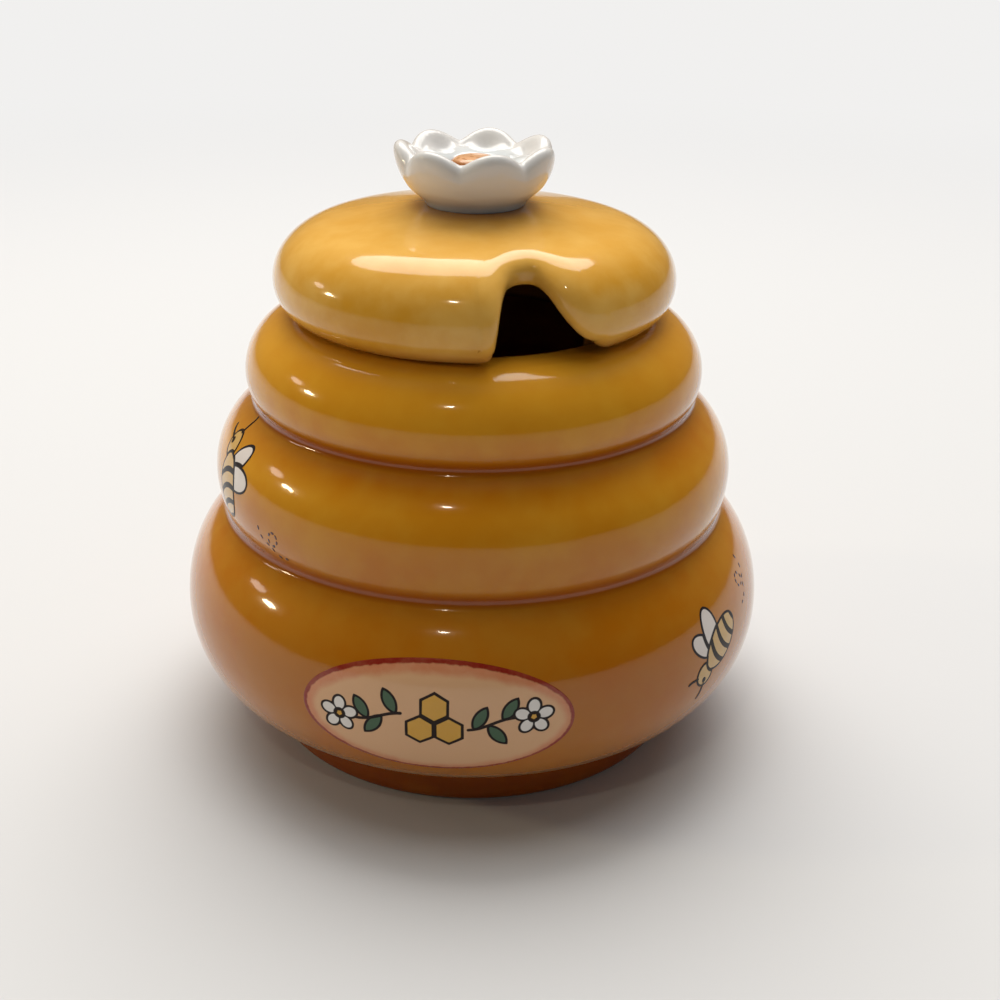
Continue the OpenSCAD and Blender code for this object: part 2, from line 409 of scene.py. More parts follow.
class Effects:
    """Node groups that more than one finish uses. Each gives one value at a point of the object."""

    def __init__(self) -> None:
        """Builds the groups."""
        self.mottle = self._mottle()
        self.specks = self._specks()
        self.skin = self._skin()
        self.stroke = self._stroke()

    @staticmethod
    def _new(name: str, **inputs: float) -> tuple[Graph, bpy.types.Node, bpy.types.NodeSocket, bpy.types.NodeSocket]:
        """An empty group with float inputs and one float output.

        Args:
            name: Name of the group.
            inputs: Standard value of each input.

        Returns:
            The group's graph, the node of its inputs, the socket of its output and the place on the object.
        """
        tree = bpy.data.node_groups.new(name, "ShaderNodeTree")
        for key, value in inputs.items():
            tree.interface.new_socket(key, in_out="INPUT", socket_type="NodeSocketFloat").default_value = value
        tree.interface.new_socket("Value", in_out="OUTPUT", socket_type="NodeSocketFloat")
        graph = Graph(tree)
        start, end = tree.nodes.new("NodeGroupInput"), tree.nodes.new("NodeGroupOutput")
        start.location, end.location = (-300, 0), (2500, 0)
        return graph, start, end.inputs["Value"], graph.add("TexCoord").outputs["Object"]

    def _mottle(self) -> bpy.types.NodeTree:
        """Soft clouds in the glaze: two layers of noise around 0.5, spread by the contrast.

        Returns:
            The group.
        """
        g, start, end, where = self._new("mottle", Scale=60.0, Contrast=1.0)
        scale = start.outputs["Scale"]
        wide = g.add("TexNoise", {"Vector": where, "Scale": scale, "Detail": 3.0}).outputs[0]
        fine_scale = g.math("MULTIPLY", scale, 5.3)
        fine = g.add("TexNoise", {"Vector": where, "Scale": fine_scale, "Detail": 4.0}).outputs[0]
        both = g.math("ADD", g.math("MULTIPLY", wide, 0.65), g.math("MULTIPLY", fine, 0.35))
        spread = g.math("MULTIPLY", g.math("SUBTRACT", both, 0.5), start.outputs["Contrast"])
        g.tree.links.new(g.math("ADD", spread, 0.5), end)
        return g.tree

    def _specks(self) -> bpy.types.NodeTree:
        """Tiny dark spots: cells whose random number is under the share, near their middle only.

        Returns:
            The group.
        """
        g, start, end, where = self._new("specks", Scale=170.0, Share=0.02, Size=0.12)
        cells = g.add("TexVoronoi", {"Vector": where, "Scale": start.outputs["Scale"]})
        near = g.math("LESS_THAN", cells.outputs["Distance"], start.outputs["Size"])
        number = g.add("SeparateColor", {0: cells.outputs["Color"]}).outputs[0]
        few = g.math("LESS_THAN", number, start.outputs["Share"])
        g.tree.links.new(g.math("MULTIPLY", near, few), end)
        return g.tree

    def _skin(self) -> bpy.types.NodeTree:
        """Height of a fired glaze: long low waves with a faint orange peel on them.

        Returns:
            The group.
        """
        g, start, end, where = self._new("fired_skin", Wave=1.0, Peel=1.0)
        wave = g.add("TexNoise", {"Vector": where, "Scale": 45.0, "Detail": 1.0}).outputs[0]
        peel = g.add("TexNoise", {"Vector": where, "Scale": 420.0, "Detail": 2.0}).outputs[0]
        waves = g.math("MULTIPLY", wave, start.outputs["Wave"])
        g.tree.links.new(g.math("MULTIPLY_ADD", peel, start.outputs["Peel"], waves), end)
        return g.tree

    def _stroke(self) -> bpy.types.NodeTree:
        """Painted area from a distance: 1 inside, 0 outside, with an edge that noise moves about.

        Returns:
            The group.
        """
        g, start, end, where = self._new("stroke", Distance=0.0, Edge=0.05, Wobble=0.08, Scale=500.0)
        noise = g.add("TexNoise", {"Vector": where, "Scale": start.outputs["Scale"], "Detail": 3.0}).outputs[0]
        sway = g.math("SUBTRACT", noise, 0.5)
        moved = g.math("MULTIPLY_ADD", sway, start.outputs["Wobble"], start.outputs["Distance"])
        edge = start.outputs["Edge"]
        g.tree.links.new(g.span(moved, g.math("MULTIPLY", edge, -1.0), edge, 1.0, 0.0), end)
        return g.tree


class Finish:
    """A material with a Principled node under a clear fired coat."""

    name: ClassVar[str] = "finish"
    specular: ClassVar[float] = 0.15
    coat: ClassVar[float] = 0.75
    fixed: ClassVar[dict[str, float]] = {"IOR": 1.45, "Coat Roughness": 0.05, "Coat IOR": 1.42}

    def start(self) -> tuple[bpy.types.Material, Graph, bpy.types.Node]:
        """Begins the material.

        Returns:
            A new material, its graph and its Principled node.
        """
        material = bpy.data.materials.new(self.name)
        material.use_nodes = True
        tree = material.node_tree
        tree.nodes.clear()
        surface = tree.nodes.new("ShaderNodeBsdfPrincipled")
        surface.location = (2500, 0)
        out = tree.nodes.new("ShaderNodeOutputMaterial")
        out.location = (2850, 0)
        tree.links.new(surface.outputs[0], out.inputs[0])
        return material, Graph(tree), surface

    def fire(
        self, g: Graph, surface: bpy.types.Node, effects: Effects, colour: bpy.types.NodeSocket, rough: Value,
        wave: float = 1.0, depth: float = 0.00035,
    ) -> None:
        """Gives the surface its colour, its clear coat and a faint relief.

        Args:
            g: Graph of the material.
            surface: Its Principled node.
            effects: The shared groups.
            colour: Base colour.
            rough: Roughness under the coat.
            wave: Share of the long waves in the relief.
            depth: Distance of the relief in metres.
        """
        height = g.run(effects.skin, Wave=wave, Peel=0.12)
        bump = g.add("Bump", {"Height": height, "Distance": depth, "Strength": 0.5}).outputs[0]
        feeds = {"Base Color": colour, "Roughness": rough, "Normal": bump, "Coat Normal": bump, **self.fixed,
                 "Specular IOR Level": self.specular, "Coat Weight": self.coat}
        for key, value in feeds.items():
            g.feed(surface, key, value)

    def ink_over(
        self, g: Graph, surface: bpy.types.Node, effects: Effects, base: Shade, ink: Rgb, line: bpy.types.NodeSocket
    ) -> None:
        """Fires ink over a base colour. The ink dulls the coat and the gleam under it.

        Args:
            g: Graph of the material.
            surface: Its Principled node.
            effects: The shared groups.
            base: Colour under the ink.
            ink: Colour of the ink.
            line: Share of the ink, from 0 to 1.
        """
        self.fire(g, surface, effects, g.blend(g.math("MULTIPLY", line, 0.98), base, ink), 0.18)
        g.feed(surface, "Coat Weight", g.ramp(line, self.coat, 0.25))
        g.feed(surface, "Specular IOR Level", g.ramp(line, self.specular, 0.05))


@dataclass(frozen=True)
class AmberGlaze(Finish):
    """Honey coloured glaze: darker where it pools and where shade is painted in, paler where it runs thin."""

    name: str = "amber_glaze"
    body: Rgb = (0.57, 0.205, 0.003)
    thin: Rgb = (0.66, 0.31, 0.020)
    dark_glaze_and_shade: Rgb = (0.26, 0.036, 0.001)
    clay: Rgb = (0.62, 0.50, 0.38)
    rough: float = 0.16
    clay_rough: float = 0.85

    def material(self, effects: Effects) -> bpy.types.Material:
        """Builds the material from the mesh's masks: glaze pools with painted shade, thin glaze and bare clay.

        Args:
            effects: The shared groups.

        Returns:
            The material.
        """
        material, g, surface = self.start()
        cloud = g.run(effects.mottle, Scale=42.0, Contrast=1.15)
        base = g.blend(g.span(cloud, 0.30, 0.72), self.body, self.thin)
        base = g.blend(g.math("MULTIPLY", g.mask("thin"), 0.65), base, self.thin)
        # Glaze pools and painted shade both take the dark colour.
        pooled_and_shaded = g.math("MULTIPLY", g.mask("pool_and_shade"), g.span(cloud, 0.1, 0.8, 0.75, 1.0))
        base = g.blend(pooled_and_shaded, base, self.dark_glaze_and_shade)
        specks = g.run(effects.specks, Scale=210.0, Share=0.006, Size=0.055)
        base = g.blend(g.math("MULTIPLY", specks, 0.75), base, self.dark_glaze_and_shade)
        bare = g.mask("bare")
        self.fire(g, surface, effects, g.blend(bare, base, self.clay), g.ramp(bare, self.rough, self.clay_rough))
        g.feed(surface, "Coat Weight", g.ramp(bare, self.coat, 0.0))
        return material


@dataclass(frozen=True)
class WhiteGlaze(Finish):
    """White glaze, bluer where it pools in hollows and as painted shade low on the outer wall, with a few pinholes.
    """

    name: str = "white_glaze"
    body: Rgb = (0.70, 0.685, 0.66)
    pooled_and_shaded: Rgb = (0.50, 0.56, 0.585)
    pinhole: Rgb = (0.06, 0.035, 0.03)

    def material(self, effects: Effects) -> bpy.types.Material:
        """Builds the material from the mesh's mask of glaze pools and painted shade.

        Args:
            effects: The shared groups.

        Returns:
            The material.
        """
        material, g, surface = self.start()
        cloud = g.run(effects.mottle, Scale=120.0, Contrast=0.8)
        # Glaze pools in hollows and painted shade low on the outer wall take the bluish grey.
        pool_and_shade = g.math("MULTIPLY", g.mask("pool_and_shade"), g.span(cloud, 0.1, 0.9, 0.6, 1.0))
        specks = g.run(effects.specks, Scale=330.0, Share=0.012, Size=0.06)
        base = g.blend(specks, g.blend(pool_and_shade, self.body, self.pooled_and_shaded), self.pinhole)
        self.fire(g, surface, effects, base, 0.2, wave=0.7, depth=0.0002)
        return material


@dataclass(frozen=True)
class DiscGlaze(Finish):
    """Orange brown glaze of the flower's middle, dotted with darker pollen."""

    name: str = "disc_glaze"
    body: Rgb = (0.64, 0.34, 0.17)
    dots: Rgb = (0.36, 0.13, 0.04)

    def material(self, effects: Effects) -> bpy.types.Material:
        """Builds the material: many specks over the body colour.

        Args:
            effects: The shared groups.

        Returns:
            The material.
        """
        material, g, surface = self.start()
        specks = g.run(effects.specks, Scale=900.0, Share=0.45, Size=0.33)
        rim = g.blend(g.mask("pool_and_shade"), self.body, self.dots)
        base = g.blend(g.math("MULTIPLY", specks, 0.6), rim, self.dots)
        self.fire(g, surface, effects, base, 0.25, wave=0.4, depth=0.0002)
        return material


@dataclass(frozen=True)
class LabelPaint(Finish):
    """Cream ground with a brushed red rim, ink lines, leaves, blossoms and honey cells. Widths in mm."""

    name: str = "label_paint"
    ground: Rgb = (0.70, 0.41, 0.22)
    blush: Rgb = (0.60, 0.20, 0.09)
    rim: Rgb = (0.24, 0.010, 0.005)
    ink: Rgb = (0.008, 0.004, 0.005)
    leaf: Rgb = (0.045, 0.105, 0.050)
    bloom: Rgb = (0.78, 0.74, 0.70)
    honey: Rgb = (0.66, 0.35, 0.045)
    thin_line: float = 0.2
    thick_line: float = 0.24

    def material(self, effects: Effects) -> bpy.types.Material:
        """Builds the material from the distances rim, wash, ink, leaf, bloom and cell of the mesh.

        Each painted area also has an ink line along its edge, where its distance is less than the line's width.

        Args:
            effects: The shared groups.

        Returns:
            The material.
        """
        material, g, surface = self.start()
        cloud = g.run(effects.mottle, Scale=260.0, Contrast=1.2)
        wash = g.run(effects.stroke, Distance=g.mask("wash"), Edge=0.75, Wobble=1.0, Scale=420.0)
        base = g.blend(g.math("MULTIPLY", wash, g.span(cloud, 0.2, 0.8, 0.55, 0.9)), self.ground, self.blush)
        brush = g.run(effects.stroke, Distance=g.mask("rim"), Edge=0.16, Wobble=0.55, Scale=800.0)
        base = g.blend(g.math("MULTIPLY", brush, g.span(cloud, 0.2, 0.8, 0.8, 1.0)), base, self.rim)
        line = g.mask("ink")
        areas = (("leaf", self.leaf, self.thin_line), ("bloom", self.bloom, self.thin_line),
                 ("cell", self.honey, self.thick_line))
        for name, colour, width in areas:
            area = g.mask(name)
            base = g.blend(g.run(effects.stroke, Distance=area, Wobble=0.07), base, colour)
            line = g.math("MINIMUM", line, g.math("SUBTRACT", g.math("ABSOLUTE", area), width))
        self.ink_over(g, surface, effects, base, self.ink, g.run(effects.stroke, Distance=line))
        return material


@dataclass(frozen=True)
class BeePaint(Finish):
    """Straw coloured body with ink stripes, and pale wings with ink edges."""

    name: str = "bee_paint"
    body: Rgb = (0.60, 0.37, 0.12)
    wing: Rgb = (0.74, 0.67, 0.62)
    ink: Rgb = (0.008, 0.006, 0.009)

    def material(self, effects: Effects) -> bpy.types.Material:
        """Builds the material from the distances wing and ink of the mesh.

        Args:
            effects: The shared groups.

        Returns:
            The material.
        """
        material, g, surface = self.start()
        wing = g.run(effects.stroke, Distance=g.mask("wing"), Wobble=0.05)
        line = g.run(effects.stroke, Distance=g.mask("ink"))
        self.ink_over(g, surface, effects, g.blend(wing, self.body, self.wing), self.ink, line)
        return material


@dataclass(frozen=True)
class TrailInk(Finish):
    """Thin ink, browner where the brush ran dry."""

    name: str = "trail_ink"
    ink: Rgb = (0.050, 0.012, 0.010)
    dry: Rgb = (0.12, 0.035, 0.015)

    def material(self, effects: Effects) -> bpy.types.Material:
        """Builds the material from clouds of ink.

        Args:
            effects: The shared groups.

        Returns:
            The material.
        """
        material, g, surface = self.start()
        cloud = g.run(effects.mottle, Scale=500.0, Contrast=1.6)
        self.fire(g, surface, effects, g.blend(g.span(cloud, 0.3, 0.8), self.ink, self.dry), 0.2)
        return material


# ---- Pot ----


@dataclass(frozen=True)
class Swell:
    """One ring of the outline: an ellipse with its own half axes above and below its widest part, in mm."""

    radius: float
    height: float
    reach_up: float
    rise: float
    reach_down: float
    drop: float

    def lower(self, start: float) -> np.ndarray:
        """The outline from an angle below the widest part up to it."""
        return arc((self.radius - self.reach_down, self.height), self.reach_down, self.drop, start, 0.0)

    def upper(self, end: float) -> np.ndarray:
        """The outline from the widest part up to an angle above it."""
        return arc((self.radius - self.reach_up, self.height), self.reach_up, self.rise, 3.0, end)


@dataclass
class HivePot:
    """The pot: three swelling rings on a foot, open at the top. Sizes in mm.

    The last fields give the shade painted into the glaze colour: on the shoulders under the ring above, on the
    foot between two heights, and down the pot between two heights by an even share less a share for the front.
    """

    belly: Swell = Swell(53.0, 24.6, 13.0, 18.2, 14.7, 17.1)
    middle: Swell = Swell(46.4, 49.5, 14.0, 13.95, 7.6, 11.4)
    shoulder: Swell = Swell(40.4, 67.2, 10.8, 10.1, 7.0, 7.5)
    rim_z: float = 77.3
    mouth_r: float = 26.5
    foot_r: float = 38.5
    foot_h: float = 5.0
    wall: float = 4.2
    floor_z: float = 6.2
    rounding: float = 0.42
    shoulder_shade: float = 0.45
    foot_z: tuple[float, float] = (9.5, 4.5)
    lower_shade: float = 0.62
    lower_shade_z: tuple[float, float] = (66.0, 27.0)
    lower_shade_shares: tuple[float, float] = (0.72, 0.28)
    columns: int = 336 if FINE else 120
    outside: Outline = field(init=False)
    whole: Outline = field(init=False)

    def __post_init__(self) -> None:
        """Works out the outlines."""
        low, mid, top = self.belly, self.middle, self.shoulder
        b_low, b_high = low.lower(-78), low.upper(61)
        m_low, m_high = mid.lower(-36), mid.upper(55)
        s_low, s_high = top.lower(-35), top.upper(90)
        foot = [(self.foot_r - 0.8, 0.0), (self.foot_r - 0.2, 0.2), (self.foot_r, 0.8),
                (self.foot_r + 0.1, self.foot_h)]
        parts = [np.array(foot), ease(foot[-1], (self.foot_r, self.foot_h + 2.6), b_low[0]), b_low, b_high,
                 ease(b_high[-1], self._groove(b_high[-1], m_low[0]), m_low[0]), m_low, m_high,
                 ease(m_high[-1], self._groove(m_high[-1], s_low[0]), s_low[0]), s_low, s_high]
        outer = np.concatenate(parts)
        self.outside = Outline(outer, self.rounding)
        inner = Outline(np.concatenate(parts[2:-1] + [s_high[: len(s_high) * 2 // 3]]), rounding=1.2)
        s = np.linspace(inner.length, 9.0, 260)
        hollow = inner.at(s) - self.wall * inner.side(s)
        mouth = np.array([(self.mouth_r + 1.2, self.rim_z), (self.mouth_r + 0.35, self.rim_z - 0.35),
                          (self.mouth_r, self.rim_z - 1.2), (self.mouth_r, self.rim_z - 3.4)])
        turn = ease(hollow[-1], (0.99 * self.foot_r, self.floor_z), (0.72 * self.foot_r, self.floor_z))
        base = np.array([(0.0, 1.6), (self.foot_r - 5.8, 1.6), (self.foot_r - 4.2, 0.0)])
        closed = np.concatenate([base, outer, mouth,
                                 ease(mouth[-1], (self.mouth_r + 1.5, self.rim_z - 4.4), hollow[0]), hollow, turn,
                                 [(0.72 * self.foot_r, self.floor_z), (0.0, self.floor_z)]])
        self.whole = Outline(closed, self.rounding)

    @staticmethod
    def _groove(low: np.ndarray, high: np.ndarray) -> tuple[float, float]:
        """The point that draws a groove inwards between two rings."""
        return min(low[0], high[0]) - 0.4, (low[1] + high[1]) / 2

    def radius_at(self, z: np.ndarray) -> np.ndarray:
        """Outer radius at heights z: the outline climbs all the way, so it is read by height."""
        points = self.outside.points
        return np.interp(z, points[:, 1], points[:, 0])

    def lay(self, x: np.ndarray, y: np.ndarray, bearing: float, height: float, proud: float) -> np.ndarray:
        """Lays flat artwork on the glaze.

        A flat point (x, y) goes to height z = height + y and radius R = r(z) + proud at the side step x, so it
        lands on (sqrt(R^2 - x^2), x, z), turned about the axis by the bearing.

        Args:
            x: Distance to the right in mm.
            y: Distance upwards in mm.
            bearing: Bearing of the artwork's middle in degrees.
            height: Height of its middle in mm.
            proud: Height above the glaze in mm.

        Returns:
            Points in mm with the shape of x and a last axis of 3.
        """
        z = height + y
        r = self.radius_at(z) + proud
        out = np.sqrt(np.maximum(r * r - x * x, 0.0))
        c, s = math.cos(math.radians(bearing)), math.sin(math.radians(bearing))
        return np.stack([c * out - s * x, s * out + c * x, z], axis=-1)

    def _stations(self) -> np.ndarray:
        """Lengths along the whole outline, at equal steps of the integral of 1 / h.

        On the outside h is a tenth of the radius of curvature, held to fine..coarse, and inside it is the wide step.

        Returns:
            The lengths in mm.
        """
        points, along = self.whole.points, self.whole.along
        fine, coarse, wide = (0.17, 0.62, 2.4) if FINE else (0.5, 1.3, 3.4)
        t = np.gradient(points, along, axis=0)
        bend = np.linalg.norm(np.gradient(t, along, axis=0), axis=1)
        bend = np.convolve(bend, np.ones(9) / 9, mode="same")
        outer = np.arange(len(along)) > np.argmax(points[:, 0] > self.foot_r - 4.5)
        outer &= along < along[np.argmax(points[:, 1])] + 4.0
        h = np.where(outer, np.clip(0.1 / np.maximum(bend, 1e-3), fine, coarse), wide)
        steps = np.concatenate([[0.0], np.cumsum(np.diff(along) / h[1:])])
        return np.interp(np.linspace(0.0, steps[-1], int(steps[-1]) + 2), steps, along)

    def build(self, effects: Effects) -> list[Piece]:
        """The pot as one closed surface of revolution, with masks for pools and painted shade, thin and bare glaze.

        The glaze pools in the grooves, by the distance of the outline inside its running mean. Painted shade darkens
        the shoulders under each ring above and the foot, and grows down the pot by run * (even - front * sin a), so
        it is darkest in front, where a = -90 degrees.

        Args:
            effects: The shared groups.

        Returns:
            The one piece.
        """
        s = self._stations()
        path = self.whole.at(s)
        radius, z = path.T
        points, quads = turned(path, self.columns)
        near = Outline(self.whole.points, rounding=4.2, grain=0.25)
        side = self.whole.side(s)
        across = np.einsum("ij,ij->i", near.at(s * near.length / self.whole.length) - path, side)
        outer = (radius > self.foot_r - 6.0) & (s < s[np.argmax(z)])
        # Glaze pools in the grooves; shade is painted on the shoulders under each ring above and on the foot.
        shoulder = self.shoulder_shade * step_up(side[:, 1], 0.35, 0.9) * (z < self.rim_z - 8.0)
        foot = step_up(z, *self.foot_z)
        pool_and_shade = np.where(outer, np.maximum.reduce([step_up(across, -0.4, 2.0), shoulder, foot]), 0.1)
        # Painted shade that grows down the pot and is darkest in front.
        run = self.lower_shade * step_up(z, *self.lower_shade_z) * outer
        even, front = self.lower_shade_shares
        turn = np.linspace(0.0, 2 * np.pi, self.columns, endpoint=False)
        bare = np.where((z < 0.35) & (radius > self.foot_r - 5.0), 1.0, 0.0)
        masks = {
            "pool_and_shade": np.maximum(pool_and_shade[:, None], np.outer(run, even - front * np.sin(turn))),
            "thin": np.repeat(step_up(-across, 0.35, 1.1), self.columns),
            "bare": np.repeat(bare, self.columns),
        }
        piece = Piece("hive_pot", points, quads, masks)
        piece.dress(AmberGlaze().material(effects), Slot.POT).stand_for(Body.POT, "pot")
        return [piece]


# ---- Lid ----


@dataclass
class NotchedLid:
    """The domed lid: a thick sheet whose edge climbs into a notch with rolled lips. Sizes in mm and degrees.

    The notch's left and right sides are given as bearings from the front, at its foot and at its top. The corners are
    rounded less on the left than on the right. Each roll is given by its width and its depth.
    """

    radius: float = 34.9
    waist_z: float = 83.3
    reach_up: float = 12.0
    crown: float = 9.7
    reach_down: float = 5.8
    drop: float = 6.4
    top_z: float = 95.6
    pad_r: float = 9.2
    wall: float = 3.8
    lip_end: float = -62.0
    notch_left: tuple[float, float] = (5.6, 7.2)
    notch_right: tuple[float, float] = (28.8, 23.2)
    flare: float = 4.0
    arch: float = 0.45
    swing: float = 0.7
    press: float = 2.5
    notch_low_z: float = 77.7
    notch_top_z: float = 92.3
    notch_lean: float = 1.3
    corner_round: tuple[float, float] = (1.25, 3.6)
    roll_left: tuple[float, float] = (2.5, 2.4)
    roll_top: tuple[float, float] = (5.8, 3.5)
    roll_right: tuple[float, float] = (5.4, 3.6)
    lip_wall: float = 2.4
    ring_r: float = 25.6
    seat_clear: tuple[float, float] = (10.0, 27.0)
    glaze_body: Rgb = (0.62, 0.285, 0.018)
    glaze_thin: Rgb = (0.74, 0.42, 0.09)
    rows: int = 64 if FINE else 36
    bend_columns: int = 300 if FINE else 150
    rest_columns: int = 208 if FINE else 82
    rounds: int = 1500 if FINE else 500
    outline: Outline = field(init=False)

    def __post_init__(self) -> None:
        """Works out the outline from the axis down to the lower edge."""
        high = arc((self.radius - self.reach_up, self.waist_z), self.reach_up, self.crown, 78, 3)
        low = arc((self.radius - self.reach_down, self.waist_z), self.reach_down, self.drop, 0, self.lip_end)
        top = np.array([(0.0, self.top_z), (self.pad_r, self.top_z)])
        self.outline = Outline(np.concatenate([top, high, low]), rounding=0.5)

    def _length_at(self, z: np.ndarray) -> np.ndarray:
        """Length from the axis on the falling part of the outline.

        Args:
            z: Heights in mm.

        Returns:
            Lengths in mm.
        """
        points, along = self.outline.points, self.outline.along
        fall = points[:, 0] > self.pad_r + 0.5
        return np.interp(-z, -points[fall, 1], along[fall])

    def _edge(self) -> dict[str, np.ndarray]:
        """The edge of the sheet, all round, one value for each column.

        The notch is the arch c = cos t, q = sin(t)^arch: at the share q of its height it runs from the left side to
        the right side by sign(c) |c|^0.5, and it is higher by lean * c. Its right side goes from foot to top by
        q^swing and flares by flare * (1 - q)^3. Its corners are rounded by a running mean, and columns leave it
        along its smoothed normals.

        Returns:
            Arrays phi (bearing in degrees), s (length in mm), rolled (share from 0 to 1), inward (steps in degrees
            and mm for each mm), width and depth (of the rolled lip, in mm).
        """
        t = np.radians(np.linspace(180.0, 0.0, 181))
        q = np.sin(t) ** self.arch
        left = self.notch_left[0] + (self.notch_left[1] - self.notch_left[0]) * q
        right = self.notch_right[0] + (self.notch_right[1] - self.notch_right[0]) * q**self.swing
        right += self.flare * (1.0 - q) ** 3
        c = np.cos(t)
        side = 0.5 + 0.5 * np.sign(c) * np.abs(c) ** 0.5
        phi = left + (right - left) * side
        s = self._length_at(self.notch_low_z + (self.notch_top_z - self.notch_low_z + self.notch_lean * c) * q)
        scale = math.radians(self.radius - 1.6)
        reach = 15.0 / scale
        last = self.outline.length
        x = np.concatenate([[phi[0] - reach], phi, [phi[-1] + reach]]) * scale
        y = np.concatenate([[last], s, [last]])
        tight, soft = (Outline(np.stack([x, y], axis=1), rounding=r, grain=0.05) for r in self.corner_round)
        way = np.linspace(0.0, 1.0, 900)
        share = step_up(way, 0.58, 0.72)[:, None]
        mixed = tight.at(way * tight.length) * (1 - share) + soft.at(way * soft.length) * share
        near = Outline(mixed, rounding=0.1, grain=0.05)
        where = np.linspace(0.0, near.length, self.bend_columns)
        bend = near.at(where)
        inward = soften(near.side(where), 4.0 * self.bend_columns / near.length)
        inward /= np.linalg.norm(inward, axis=1, keepdims=True)
        inward[:, 0] /= scale
        bearing = bend[:, 0] / scale
        rest = np.linspace(bearing[-1], bearing[0] + 360.0, self.rest_columns + 2)[1:-1]
        out = {"phi": np.concatenate([bearing, rest])}
        out["s"] = np.concatenate([np.minimum(bend[:, 1], last), np.full(len(rest), last)])
        out["rolled"] = step_up(last - out["s"], 0.01, 1.3)
        out["inward"] = np.concatenate([inward, np.tile([[0.0, -1.0]], (len(rest), 1))])
        share = step_up((last - out["s"]) / (last - s.min()), 0.35, 0.95)
        middle = (self.notch_left[1] + self.notch_right[1]) / 2
        right = 0.5 + 0.5 * np.clip(6.0 * np.sin(np.radians(out["phi"] - middle)), -1.0, 1.0)
        for k, key in enumerate(("width", "depth")):
            flank = self.roll_left[k] + (self.roll_right[k] - self.roll_left[k]) * right
            out[key] = flank + (self.roll_top[k] - flank) * share
        return out

    def _spread(self, phi: np.ndarray, s: np.ndarray) -> np.ndarray:
        """Points of the plain sheet.

        Args:
            phi: Bearings from the front, in degrees.
            s: Lengths from the axis, in mm.

        Returns:
            Points in mm, on a last axis of 3.
        """
        rz = self.outline.at(s)
        a = np.radians(phi - 90.0)
        return np.stack([rz[..., 0] * np.cos(a), rz[..., 0] * np.sin(a), rz[..., 1]], axis=-1)

    def _sheet(self) -> tuple[np.ndarray, np.ndarray]:
        """The outer face as rows from the edge to the axis.

        The first rows leave the edge by width * (1 - cos a), and the others close in on the axis as a relaxed grid.
        The plain sheet is then pressed in along its normal by depth * (1 - (1 - u^p)^(1/p)) with p = press and
        u = 1 - d / width, at the distance d from the rolled part of the edge, so the lips turn inwards in a soft
        quarter round.

        Returns:
            The grid of points, and the share that each is rolled.
        """
        edge = self._edge()
        turn = np.radians(np.linspace(0.0, 90.0, self.rows * 2 // 5))
        near = edge["width"] * (1.0 - np.cos(turn))[:, None]
        close_phi = edge["phi"] + near * edge["inward"][:, 0]
        close_s = edge["s"] + near * edge["inward"][:, 1]
        far = np.linspace(0.0, 1.0, self.rows - len(near) - 2)[:, None]
        bend = slice(0, self.bend_columns)
        even = close_phi[-1].copy()
        even[bend] = soften(even[bend], self.bend_columns / 9)
        far_phi = close_phi[-1] + (even - close_phi[-1]) * step_up(far, 0.0, 0.85)
        far_s = close_s[-1] * (1.0 - far) + 3.0 * far
        far_phi[:, bend], far_s[:, bend] = relax(far_phi[:, bend] * 0.5, far_s[:, bend], self.rounds)
        far_phi[:, bend] *= 2.0
        tip = np.array([2.0, 1.0, 0.0])[:, None]
        grid_s = np.concatenate([close_s, far_s[1:], tip * np.ones_like(even)])
        grid_phi = np.concatenate([close_phi, far_phi[1:], np.tile(far_phi[-1], (3, 1))])
        flat = self._spread(grid_phi, grid_s)
        bent = np.flatnonzero(edge["rolled"] > 0.02)
        rim = self._spread(edge["phi"], edge["s"])[bent]
        d = np.full(grid_s.shape, 1e3)
        best = np.zeros(grid_s.shape, dtype=int)
        for k in range(grid_s.shape[0]):
            gap = np.linalg.norm(flat[k][:, None, :] - rim[None, :, :], axis=-1)
            best[k] = gap.argmin(axis=1)
            d[k] = gap[np.arange(gap.shape[0]), best[k]]
        amount, width, depth = (edge[key][bent][best] for key in ("rolled", "width", "depth"))
        u = np.clip(1.0 - d / width, 0.0, 1.0)
        press = amount * depth * (1.0 - np.maximum(1.0 - u**self.press, 0.0) ** (1.0 / self.press))
        side = -self.outline.side(grid_s)
        a = np.radians(grid_phi - 90.0)
        n = np.stack([side[..., 0] * np.cos(a), side[..., 0] * np.sin(a), side[..., 1]], axis=-1)
        n[grid_s < 0.5] = (0.0, 0.0, 1.0)
        n = np.where(n[..., 2:3] < -0.95, -n, n)
        return flat - press[..., None] * n, amount * step_up(u, 0.0, 0.8)

